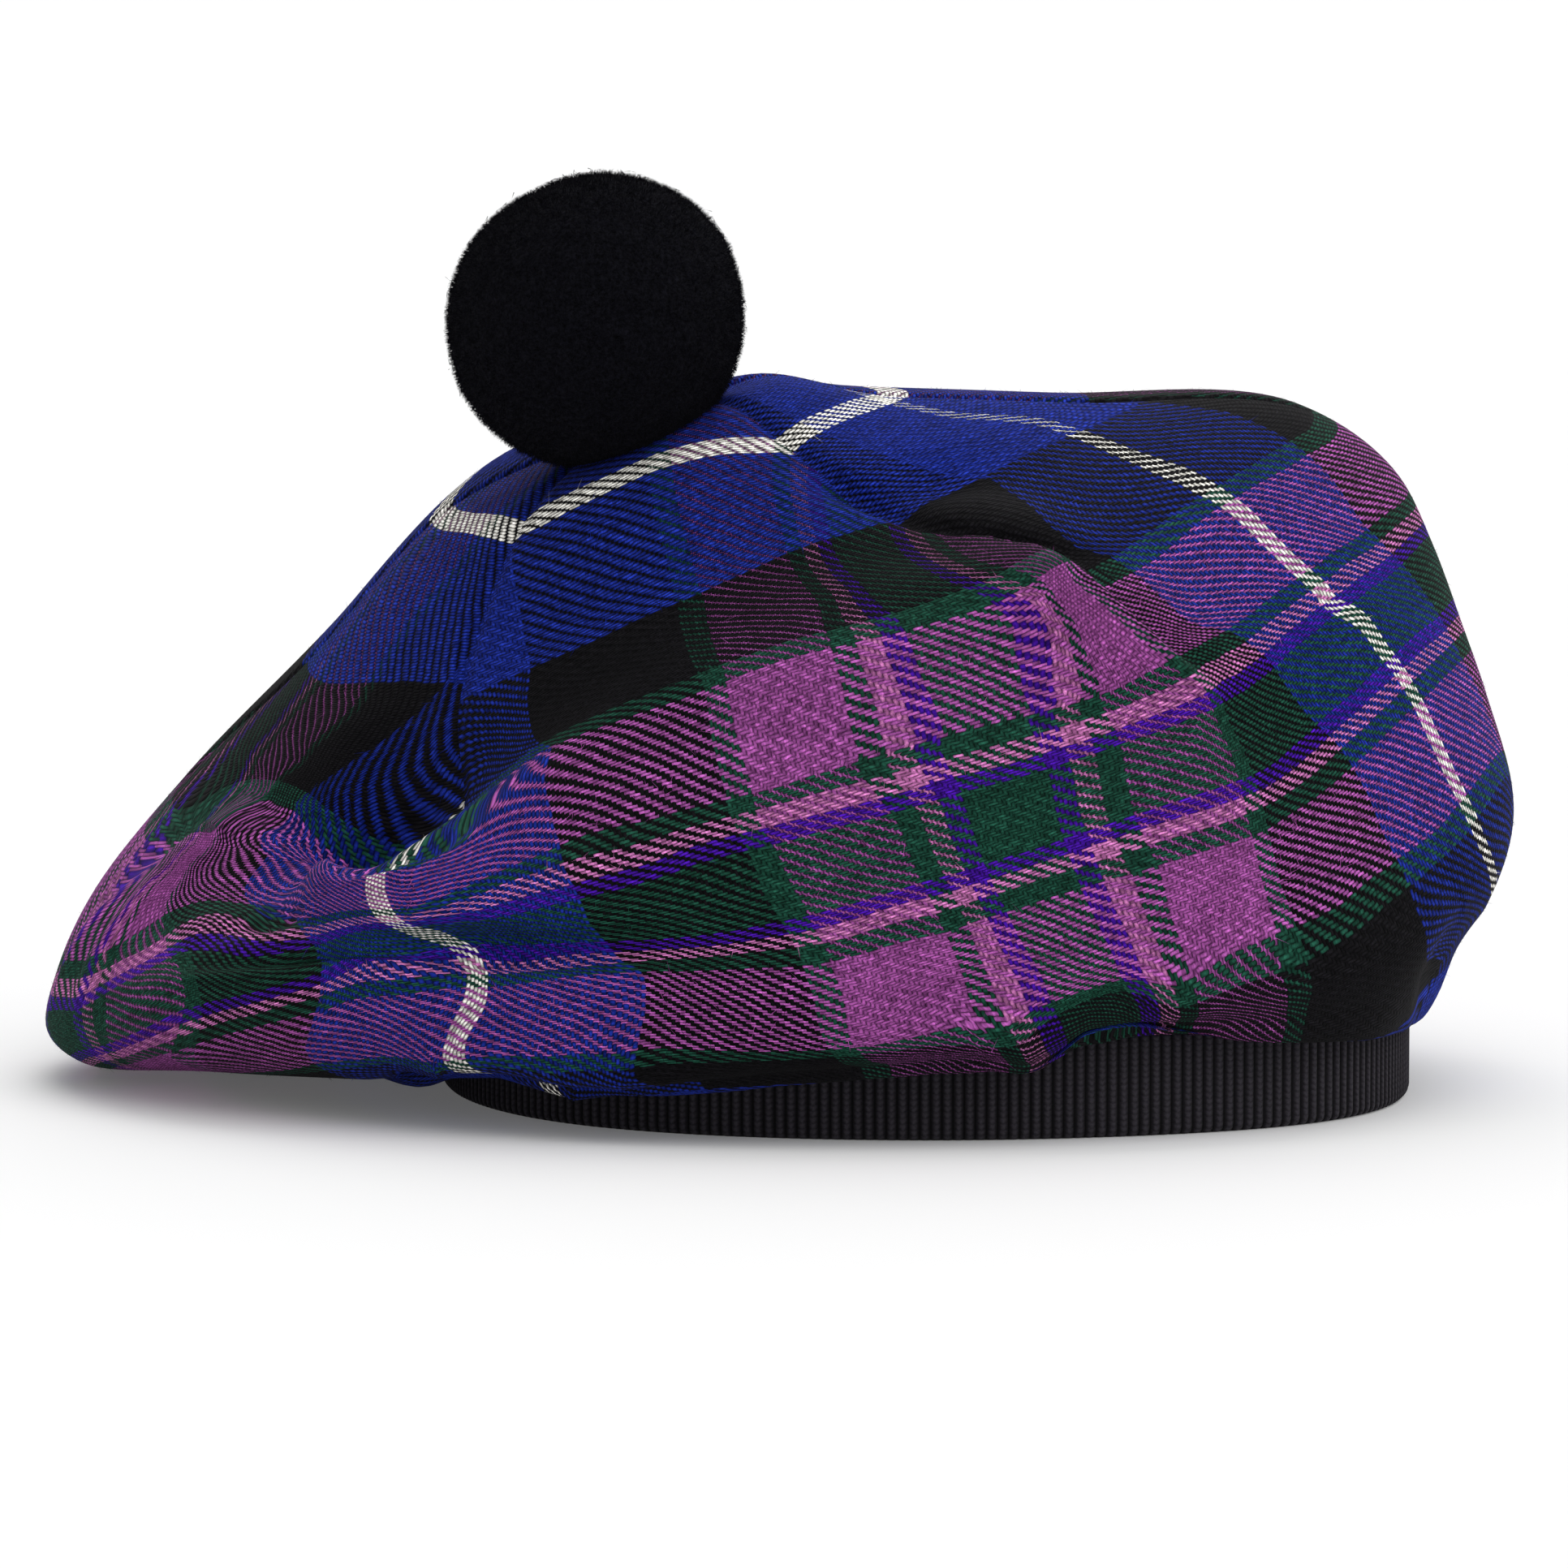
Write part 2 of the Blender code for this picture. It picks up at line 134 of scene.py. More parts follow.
# Where lines of the check run in the picture, so that the cloth can be drawn on the form as it really lies.
# Each has its place on the cloth, and by gore some of its pixels, x and y in turn, for a picture of IMAGE_SIDE.
# First the lines that run round the crown, then those that run from the peak to the hem.
HOOP_LINES = {
    "white": (41, {
        LEFT: (556, 641, 600, 644, 650, 655),
        MIDDLE: (670, 635, 700, 617, 750, 595, 800, 572, 850, 556, 900, 547, 940, 551),
        RIGHT: (960, 550, 1000, 525, 1050, 503, 1090, 491)}),
    "black_starts": (73.3, {
        LEFT: (400, 842, 460, 839, 520, 839),
        MIDDLE: (
            565, 865, 600, 848, 650, 825, 700, 803, 750, 780, 800, 757, 850, 737, 900, 713, 950, 690, 1000, 670,
            1050, 655, 1085, 645),
        RIGHT: (1140, 620, 1205, 588, 1240, 572, 1280, 553, 1320, 536, 1360, 518, 1400, 502)}),
    "magenta_starts": (108.7, {
        LEFT: (
            185, 1036, 200, 1032, 240, 1028, 265, 1012, 290, 997, 310, 985, 330, 980, 380, 1005, 405, 1045,
            445, 1078),
        MIDDLE: (
            500, 1078, 550, 1055, 590, 1000, 620, 960, 650, 935, 700, 910, 800, 873, 893, 838, 950, 815, 1020, 797,
            1100, 780, 1150, 765, 1200, 750, 1230, 738),
        RIGHT: (1395, 705, 1440, 670, 1480, 635, 1540, 600, 1610, 558, 1640, 543)}),
    "magenta_ends": (130.8, {
        LEFT: (
            80, 1183, 100, 1180, 120, 1178, 140, 1165, 155, 1150, 170, 1142, 185, 1135, 200, 1125, 220, 1113,
            250, 1108, 320, 1112, 400, 1127),
        MIDDLE: (
            500, 1112, 550, 1092, 600, 1072, 650, 1055, 700, 1030, 750, 1013, 850, 992, 925, 975, 1000, 952,
            1048, 937, 1110, 918, 1200, 892, 1260, 878),
        RIGHT: (1480, 790, 1550, 742, 1600, 707, 1650, 672, 1700, 637, 1740, 605)}),
    "violet_starts": (139.2, {
        LEFT: (
            70, 1228, 95, 1228, 110, 1220, 130, 1208, 150, 1198, 170, 1188, 190, 1178, 205, 1168, 220, 1160,
            250, 1154, 300, 1150, 400, 1147),
        MIDDLE: (
            500, 1140, 550, 1130, 600, 1115, 650, 1100, 700, 1090, 750, 1078, 800, 1065, 850, 1045, 900, 1031,
            950, 1018, 1000, 1005, 1050, 993, 1100, 978, 1150, 963, 1200, 952, 1250, 940, 1300, 922, 1350, 906,
            1400, 888, 1450, 868),
        RIGHT: (1550, 810, 1600, 768, 1650, 730, 1700, 695, 1750, 650)}),
    "violet_ends": (143.4, {
        LEFT: (
            70, 1243, 100, 1240, 120, 1230, 140, 1217, 160, 1207, 180, 1195, 200, 1182, 215, 1172, 230, 1166,
            250, 1162),
        MIDDLE: (
            600, 1140, 650, 1125, 700, 1112, 750, 1097, 800, 1082, 850, 1062, 900, 1048, 950, 1037, 1000, 1023,
            1050, 1012, 1100, 998, 1150, 985, 1200, 970, 1250, 956, 1300, 943, 1350, 926, 1400, 908, 1450, 890,
            1500, 868),
        RIGHT: (1550, 838, 1600, 790, 1650, 752, 1700, 715, 1755, 662)}),
    "low_violet_starts": (160.6, {
        LEFT: (
            95, 1293, 120, 1290, 140, 1284, 170, 1272, 200, 1260, 240, 1245, 280, 1232, 300, 1226, 350, 1211,
            400, 1195, 450, 1179),
        MIDDLE: (
            500, 1168, 550, 1165, 600, 1160, 700, 1161, 800, 1160, 850, 1156, 900, 1149, 950, 1140, 1000, 1128,
            1050, 1115, 1100, 1101, 1150, 1086, 1200, 1069, 1250, 1055, 1300, 1040, 1350, 1022, 1400, 1005, 1450, 990,
            1500, 975, 1550, 955),
        RIGHT: (1600, 915, 1650, 870, 1700, 822, 1750, 777, 1787, 742)}),
    "low_violet_ends": (164.8, {
        LEFT: (
            105, 1306, 130, 1300, 160, 1289, 200, 1274, 240, 1257, 280, 1245, 300, 1241, 350, 1227, 400, 1212,
            450, 1200),
        MIDDLE: (
            500, 1190, 550, 1181, 600, 1175, 700, 1172, 800, 1171, 900, 1163, 950, 1155, 1000, 1145, 1050, 1132,
            1100, 1116, 1150, 1103, 1200, 1090, 1250, 1073, 1300, 1056, 1350, 1040, 1400, 1023, 1450, 1006, 1500, 990,
            1540, 976),
        RIGHT: (1600, 942, 1650, 895, 1700, 850, 1750, 805, 1795, 762)}),
    "low_magenta_starts": (173.2, {
        LEFT: (250, 1285, 300, 1270, 350, 1260, 400, 1250),
        MIDDLE: (
            500, 1232, 600, 1218, 700, 1205, 800, 1198, 900, 1197, 1000, 1192, 1050, 1182, 1100, 1168, 1165, 1155,
            1250, 1125, 1300, 1107, 1350, 1092, 1400, 1079, 1450, 1064, 1500, 1047, 1545, 1035),
        RIGHT: (1600, 1000, 1650, 963, 1690, 925, 1750, 865, 1805, 812)}),
    "low_magenta_ends": (195.3, {
        LEFT: (400, 1308, 450, 1305),
        MIDDLE: (
            500, 1304, 600, 1299, 700, 1296, 800, 1291, 900, 1295, 1000, 1295, 1050, 1293, 1100, 1283, 1150, 1266,
            1195, 1248, 1290, 1239, 1350, 1224, 1400, 1208, 1465, 1193, 1520, 1172, 1575, 1150),
        RIGHT: (1620, 1130, 1680, 1090, 1725, 1056, 1800, 992, 1840, 935)}),
    "lip_in_middle": (217.5, {MIDDLE: (
        600, 1333, 700, 1347, 800, 1356, 900, 1350, 1000, 1336, 1100, 1330, 1200, 1322, 1260, 1312)}),
    "lip_at_right": (225.5, {RIGHT: (
        1304, 1294, 1340, 1278, 1370, 1262, 1440, 1268, 1500, 1275, 1560, 1281, 1600, 1281, 1650, 1276, 1690, 1266,
        1722, 1250)}),
}

COLUMN_LINES = {
    "violet_far_left": (-101.8, {LEFT: (
        420, 778, 400, 805, 372, 850, 340, 897, 305, 945, 283, 977, 270, 990, 258, 1008, 245, 1025, 235, 1038,
        224, 1052, 212, 1068)}),
    "violet_at_far_left": (-123.4, {LEFT: (
        232, 975, 218, 990, 205, 1005, 190, 1025, 178, 1042, 165, 1062, 155, 1082, 148, 1100)}),
    "magenta_starts_far_left": (-91.1, {LEFT: (
        535, 668, 490, 702, 455, 750, 425, 800, 400, 840, 372, 870, 345, 900, 315, 940, 133, 1240, 133, 1275)}),
    "magenta_ends_far_left": (-68.7, {LEFT: (
        600, 645, 560, 700, 515, 750, 478, 800, 450, 845, 438, 870, 405, 900, 370, 940, 330, 980, 285, 1000,
        262, 1020, 230, 1060, 212, 1095, 202, 1135, 222, 1190, 229, 1215, 230, 1240, 220, 1270, 212, 1305)}),
    "blue_starts_left": (-32.8, {LEFT: (
        540, 852, 480, 905, 435, 935, 400, 960, 365, 985, 325, 1025, 311, 1080, 318, 1125, 395, 1178, 395, 1200,
        385, 1250, 376, 1300)}),
    "pocket_left_of_white": (-6.0, {LEFT: (568, 945, 560, 970, 545, 990, 520, 1012)}),
    "pocket_white_starts": (-2.6, {LEFT: (506, 1042)}),
    "pocket_white_ends": (2.6, {MIDDLE: (526, 1032)}),
    "pocket_right_of_white": (9.0, {MIDDLE: (574, 992, 566, 1001, 557, 1010, 548, 1019)}),
    "pocket_right_wall": (14.0, {MIDDLE: (600, 945, 596, 970, 588, 988)}),
    "white_starts_left": (-2.6, {LEFT: (
        449, 1100, 453, 1118, 462, 1132, 490, 1142, 500, 1146, 520, 1151, 545, 1158, 556, 1164, 562, 1178, 573, 1195,
        577, 1215, 568, 1240, 554, 1265, 547, 1290, 547, 1313)}),
    "white_ends_left": (2.6, {MIDDLE: (
        478, 1097, 482, 1117, 492, 1138, 503, 1144, 524, 1149, 549, 1156, 564, 1161, 588, 1166, 600, 1195, 603, 1215,
        597, 1240, 581, 1265, 575, 1290, 577, 1313)}),
    "rim_beside_white": (8.0, {MIDDLE: (502, 1083, 522, 1074)}),
    "rim_further_right": (14.0, {MIDDLE: (552, 1058, 570, 1040)}),
    "black_starts": (32.8, {MIDDLE: (
        655, 827, 650, 870, 655, 905, 670, 960, 680, 1000, 690, 1040, 712, 1100, 725, 1135, 795, 1200, 795, 1250,
        785, 1300, 781, 1328)}),
    "magenta_starts": (68.7, {MIDDLE: (
        868, 745, 880, 800, 893, 840, 905, 900, 925, 975, 955, 1050, 980, 1100, 1025, 1190, 1040, 1240, 1050, 1290)}),
    "magenta_ends": (91.1, {MIDDLE: (
        1005, 740, 1020, 800, 1035, 850, 1045, 900, 1052, 940, 1097, 1005, 1165, 1155, 1180, 1200, 1195, 1245)}),
    "pivot_starts": (103.9, {MIDDLE: (1157, 885, 1180, 970, 1192, 1005, 1205, 1045, 1282, 1200)}),
    "pivot_ends": (121.3, {MIDDLE: (
        1232, 750, 1250, 800, 1262, 850, 1290, 940, 1298, 970, 1305, 1010, 1335, 1100, 1365, 1160, 1388, 1210)}),
    "second_magenta_starts": (134.1, {RIGHT: (
        1300, 722, 1308, 745, 1325, 760, 1335, 790, 1345, 815, 1358, 845, 1378, 900, 1392, 960, 1400, 1000,
        1432, 1070, 1440, 1100, 1455, 1150, 1468, 1195)}),
    "second_black_starts": (163.0, {RIGHT: (1334, 711, 1362, 732, 1392, 757, 1422, 783, 1452, 806, 1482, 822)}),
    "second_magenta_ends": (156.5, {RIGHT: (
        1318, 716, 1348, 737, 1378, 763, 1408, 790, 1438, 812, 1462, 832, 1495, 870, 1515, 920, 1545, 1035,
        1560, 1100, 1575, 1150, 1580, 1200, 1588, 1240)}),
    "second_blue_starts": (192.4, {RIGHT: (
        1205, 588, 1240, 605, 1290, 645, 1325, 675, 1395, 705, 1430, 735, 1470, 770, 1555, 803, 1580, 840, 1610, 880,
        1655, 925, 1690, 990, 1705, 1030, 1730, 1075, 1745, 1120, 1758, 1175)}),
    "second_black_at_edge": (189.0, {RIGHT: (1768, 1200, 1758, 1225, 1746, 1250)}),
    "second_white_starts": (222.6, {RIGHT: (
        1100, 500, 1130, 505, 1170, 515, 1210, 517, 1250, 520, 1280, 525, 1310, 535, 1340, 546, 1370, 560, 1400, 573,
        1430, 587, 1460, 600, 1480, 611, 1500, 623, 1530, 645, 1550, 665)}),
    "second_white_ends": (227.8, {RIGHT: (
        1100, 492, 1130, 499, 1170, 507, 1210, 510, 1250, 512, 1280, 514, 1310, 522, 1340, 531, 1370, 543, 1400, 555,
        1430, 565, 1460, 575, 1490, 590, 1510, 603, 1530, 618, 1550, 636)}),
    "second_white_low": (225.2, {RIGHT: (
        1600, 700, 1640, 745, 1680, 762, 1700, 795, 1725, 825, 1750, 870, 1770, 915, 1790, 960, 1810, 1000,
        1830, 1050, 1840, 1082)}),
    "second_blue_ends": (258.0, {RIGHT: (1415, 495, 1610, 558, 1650, 600, 1680, 648)}),
}

# For the lines to the hem, then for those round the crown: within what distance a shift is even, and how freely
# it may miss a pixel.
SHIFT_ROUNDING = (2.5, 6.0)
SHIFT_STIFFNESS = (0.6, 1.5)
SHIFT_FADE, SHIFT_FADE_SHARPNESS = 55.0, 4  # how far past the last line in the picture a shift carries
GORE_APART = 60.0  # how far apart two gores count at the peak, so that a shift doesn't cross a seam


def around(values, azimuth):
    """Smooth periodic curve through values at equal azimuths, read at azimuth."""
    count = len(values)
    place = np.asarray(azimuth, float) / 360 * count
    first = np.floor(place).astype(int)
    share = place - first
    before, start, end, after = (np.asarray(values)[(first + k) % count] for k in (-1, 0, 1, 2))
    return hermite(start, end, (end - before) / 2, (after - start) / 2, share)


def hermite(start, end, start_slope, end_slope, share):
    """The smooth curve from start to end, read at a share of its way."""
    square, cube = share**2, share**3
    return (
        (2 * cube - 3 * square + 1) * start
        + (cube - 2 * square + share) * start_slope
        + (3 * square - 2 * cube) * end
        + (cube - square) * end_slope
    )


def swell(azimuth):
    """How far the headband bows out of its circle at an azimuth in degrees."""
    bow = np.zeros(np.shape(azimuth))
    for middle, reach in BAND_SWELLS.values():
        bow += reach * np.clip(np.cos(np.radians(azimuth - middle)), 0, None) ** SWELL_SHARPNESS
    return bow


def ring(radius, azimuth, height):
    """Points round the head opening at the azimuths."""
    turn = np.radians(azimuth)
    return np.stack(np.broadcast_arrays(radius * np.sin(turn), -radius * np.cos(turn), height), axis=-1)


def hoop_points(azimuth):
    """Points of every hoop, the hem last, at the azimuths: an array of hoops x azimuths x 3."""
    turn = np.radians(azimuth)
    hoops = []
    for row in HOOPS.values():
        cell = dict(zip(HOOP_COLUMNS, row))
        heights = [cell[name] for name in HOOP_COLUMNS if name.startswith("z_")]
        middle = (cell["left"] + cell["right"]) / 2, (cell["front"] + cell["back"]) / 2
        half = (cell["right"] - cell["left"]) / 2, (cell["back"] - cell["front"]) / 2
        bow = cell["swell"] * swell(azimuth)
        hoops.append(np.stack([
            middle[0] + (half[0] + bow) * np.sin(turn),
            middle[1] - (half[1] + bow) * np.cos(turn),
            around(heights, azimuth),
        ], axis=-1))
    hoops.append(ring(BAND_RADIUS + swell(azimuth), azimuth, BAND_HEIGHT + GAP))
    return np.array(hoops)


def stations():
    """The lengths of cloth from the peak to each hoop, the hem last."""
    lengths = [row[0] for row in HOOPS.values()]
    return np.array(lengths + [lengths[-1] + HEM_CLOTH], float)


def point_along(hoops, cloth):
    """One row of the surface: where the smooth curves through the hoops' points have run a length of cloth."""
    at = stations()
    steps = np.diff(at)[:, None, None]
    chords = np.diff(hoops, axis=0) / steps
    slopes = np.concatenate([chords[:1], chords, chords[-1:]])
    weight = np.concatenate([steps[:1], steps, steps[-1:]])
    slopes = (slopes[:-1] * weight[1:] + slopes[1:] * weight[:-1]) / (weight[:-1] + weight[1:])
    index = int(np.clip(np.searchsorted(at, cloth, side="right") - 1, 0, len(at) - 2))
    length = at[index + 1] - at[index]
    share = (cloth - at[index]) / length
    return hermite(hoops[index], hoops[index + 1], slopes[index] * length, slopes[index + 1] * length, share)


def unit(vectors):
    return vectors / np.linalg.norm(vectors, axis=-1, keepdims=True)


def normals(grid):
    """Outward unit normals of a grid of rows (peak to hem) x azimuths."""
    return unit(np.cross(np.gradient(grid, axis=0), np.roll(grid, -1, axis=1) - np.roll(grid, 1, axis=1)))


def turned(difference):
    """An angle as -180 to 180 degrees."""
    return (difference + 180) % 360 - 180


def seam_azimuths(cloth):
    """Azimuth of each seam, and of the first one again a full turn on, at a length of cloth from the peak."""
    places = []
    for row in SEAMS:
        seam = dict(zip(SEAM_COLUMNS, row))
        places.append(seam["azimuth"] + seam["drift"] * min(cloth / seam["end"], 1) ** SEAM_DRIFT_POWER)
    return np.array(places + [places[0] + 360])


def fold_rise(azimuth, cloth, hoop_radius):
    """How far the folds move the cloth outwards."""
    rise = np.zeros(hoop_radius.shape)
    for row in FOLDS.values():
        fold = dict(zip(FOLD_COLUMNS, row))
        across_hoops = (cloth[:, None] - fold["cloth"]) * np.ones_like(rise)
        along_hoop = np.radians(turned(azimuth - fold["azimuth"])) * hoop_radius
        turn = math.radians(fold["turn"])
        length = along_hoop * math.cos(turn) + across_hoops * math.sin(turn)
        width = across_hoops * math.cos(turn) - along_hoop * math.sin(turn)
        rise += fold["rise"] * np.exp(-((length / fold["along"]) ** 2) - (width / fold["across"]) ** 2)
    return rise


def seam_rise(azimuth, cloth, hoop_radius):
    """How far the seams' grooves move it."""
    rise = np.zeros(hoop_radius.shape)
    places = np.array([seam_azimuths(length) for length in cloth])
    for number, row in enumerate(SEAMS):
        seam = dict(zip(SEAM_COLUMNS, row))
        beside = np.radians(turned(azimuth - places[:, number : number + 1])) * hoop_radius
        fade = np.clip((seam["end"] - cloth) / SEAM_FADE, 0, 1)[:, None]
        rise -= SEAM_GROOVE * fade * np.exp(-((beside / SEAM_HALF_WIDTH) ** 2))
    return rise


class CrownGrid:
    """The cloth's outer face as a grid: rows from the peak to the hem, columns that follow the seams."""

    def __init__(self, every=1):
        count = int(round(stations()[-1] / ROW_STEP)) // 2 * 2
        self.cloth = np.linspace(0, stations()[-1], count + 1)[::every]
        columns = [row[-1] for row in SEAMS]
        self.gore = np.concatenate([np.full(n, k) for k, n in enumerate(columns)])[::every]
        share = np.concatenate([np.arange(n) / n for n in columns])[::every]
        places = np.array([seam_azimuths(length) for length in self.cloth])
        self.azimuth = places[:, self.gore] + share * (places[:, self.gore + 1] - places[:, self.gore])
        grid = np.array([point_along(hoop_points(a), c) for a, c in zip(self.azimuth, self.cloth)])
        middle = grid.mean(axis=1, keepdims=True)
        radius = np.linalg.norm((grid - middle)[..., :2], axis=-1)
        for rise in (fold_rise, seam_rise):
            rise = rise(self.azimuth, self.cloth, radius)
            rise[-1] = 0
            grid = grid + normals(grid) * rise[..., None]
        self.points = grid

    def cloth_marks(self):
        """Place on the cloth of each face's left and right side: round the crown, and down from the peak."""
        steps = np.linalg.norm(np.roll(self.points, -1, axis=1) - self.points, axis=-1)
        half = np.interp(self.cloth, *zip(*GORE_SHAPE))
        left, right = np.zeros(steps.shape), np.zeros(steps.shape)
        for number, gore in enumerate(GORE_NUMBERS):
            inside = np.flatnonzero(self.gore == number)
            run = np.cumsum(steps[:, inside], axis=1)
            share = np.concatenate([np.zeros((len(run), 1)), run / run[:, -1:]], axis=1)
            place = MIDDLE_GORE_CENTRE + GORE_WIDTH * gore + (2 * share - 1) * half[:, None]
            left[:, inside], right[:, inside] = place[:, :-1], place[:, 1:]
        down = np.repeat(self.cloth[:, None], left.shape[1], axis=1)
        return np.stack([left, down], axis=-1), np.stack([right, down], axis=-1)

    def gore_numbers(self):
        """Each face's gore, from the middle one."""
        return np.repeat(np.array(GORE_NUMBERS)[self.gore][None], len(self.cloth), axis=0)

    def sides(self):
        """The points at each face's left and right side."""
        return self.points, np.roll(self.points, -1, axis=1)


# Sharp folds that are finer than those of the CAD source, by where they run in the picture. Each has the way it
# moves the cloth, how far it reaches to the left and to the right as one walks along its path, and for each point
# of the path its pixel and how far it moves the cloth.
OUT, UP, AWAY = "off the cloth", "up", "away from the head opening's middle"
CREASES = {
    "pocket_left_wall": (OUT, 12.0, 12.0, (
        (395, 880, 0), (410, 930, 2), (420, 985, 4), (430, 1040, 3), (440, 1070, 0))),
    "pocket_rim": (OUT, 5.0, 8.0, (
        (325, 1000, 0), (338, 1060, 3.5), (380, 1100, 6.5), (440, 1120, 8), (500, 1115, 8), (560, 1090, 7),
        (615, 1030, 5), (660, 965, 3), (705, 915, 0))),
    "ridge_to_tip": (OUT, 4.5, 4.5, (
        (330, 985, 0), (262, 1028, 2.5), (215, 1078, 3.5), (175, 1125, 3.5), (140, 1165, 3), (105, 1210, 1),
        (85, 1235, 0))),
    "valley": (OUT, 4.0, 3.5, (
        (240, 1160, 0), (320, 1135, -2), (420, 1140, -3.5), (500, 1152, -5), (570, 1160, -5), (650, 1168, -4),
        (730, 1172, -2.5), (830, 1178, 0))),
    "kink_right_seam": (OUT, 4.0, 4.0, (
        (960, 552, 0), (1010, 590, -2), (1060, 612, -2.5), (1118, 631, -2), (1180, 670, 0))),
    "ridge_right_seam": (OUT, 1.8, 9.0, (
        (1180, 662, 0), (1230, 678, 2), (1280, 693, 3.5), (1320, 716, 4.5), (1360, 748, 5), (1400, 782, 5),
        (1440, 814, 4), (1480, 845, 2.5), (1520, 865, 0))),
    "behind_ridge": (OUT, 7.0, 3.0, (
        (1255, 668, 0), (1310, 690, -1.5), (1360, 722, -3), (1410, 762, -3), (1455, 798, -2), (1495, 828, 0))),
    "flat_beside_seam": (OUT, 8.0, 8.0, ((1150, 610, 0), (1200, 628, 1.5), (1250, 645, 2), (1300, 660, 1))),
    "right_side_tuck": (AWAY, 28.0, 12.0, (
        (1832, 1100, 0), (1815, 1140, -2.5), (1795, 1175, -4.5), (1778, 1205, -4.5), (1762, 1235, -3),
        (1748, 1258, -2))),
    "lip_in_front": (UP, 10.0, 10.0, (
        (430, 1325, 0), (490, 1328, 1.5), (545, 1338, 4), (600, 1347, 4.8), (650, 1352, 3.8), (700, 1355, 2.8),
        (760, 1358, 2.3), (820, 1360, 2.2), (900, 1356, 2.8), (960, 1354, 3.5), (1050, 1350, 3.8), (1150, 1343, 4),
        (1215, 1332, 3), (1265, 1305, 0))),
    "lip_at_tuck": (UP, 9.0, 9.0, (
        (1270, 1300, 0), (1310, 1298, 2), (1340, 1295, 4), (1380, 1285, 4), (1430, 1284, 3), (1490, 1290, 3),
        (1550, 1292, 2.2), (1620, 1284, 1), (1690, 1265, 0))),
}


class Creases:
    """The sharp folds, laid on the form where the picture shows them."""

    def __init__(self, grid):
        form = BVHTree.FromPolygons(grid.points.reshape(-1, 3).tolist(), quads(*grid.points.shape[:2]).tolist())
        self.paths = []
        for way, left, right, path in CREASES.values():
            points, outward, moves = [], [], []
            for x, y, move in path:
                hit, normal, _, _ = form.ray_cast(*pixel_ray((x, y)))
                if hit is not None:
                    points.append(hit)
                    outward.append(normal)
                    moves.append(move)
            self.paths.append((way, left, right, np.array(points), np.array(outward), np.array(moves, float)))

    def moved(self, grid):
        """The grid's points with the folds pressed into them."""
        flat = grid.points.reshape(-1, 3)
        ways = {
            OUT: normals(grid.points).reshape(-1, 3),
            UP: np.tile([0.0, 0.0, 1.0], (len(flat), 1)),
            AWAY: unit(flat * (1, 1, 0)),
        }
        total = np.zeros(flat.shape)
        for way, left, right, points, outward, moves in self.paths:
            reach = 3 * max(left, right)  # past it the fold is flat
            low, high = points.min(axis=0) - reach, points.max(axis=0) + reach
            near = np.flatnonzero(((flat > low) & (flat < high)).all(axis=1))
            best = np.full(len(near), np.inf)
            found = np.zeros(len(near))
            for start, end, face, first, last in zip(points, points[1:], outward, moves, moves[1:]):
                run = end - start
                share = np.clip((flat[near] - start) @ run / (run @ run), 0, 1)
                away = flat[near] - (start + share[:, None] * run)
                away_length = np.linalg.norm(away, axis=1)
                width = np.where(away @ np.cross(run, face) > 0, right, left)
                move = (first + share * (last - first)) * np.exp(-((away_length / width) ** 2))
                closer = away_length < best
                best[closer], found[closer] = away_length[closer], move[closer]
            total[near] += found[:, None] * ways[way][near]
        total = total.reshape(grid.points.shape)
        total[grid.cloth < GORES_END / 4] = 0
        total[-1] = 0
        return grid.points + total


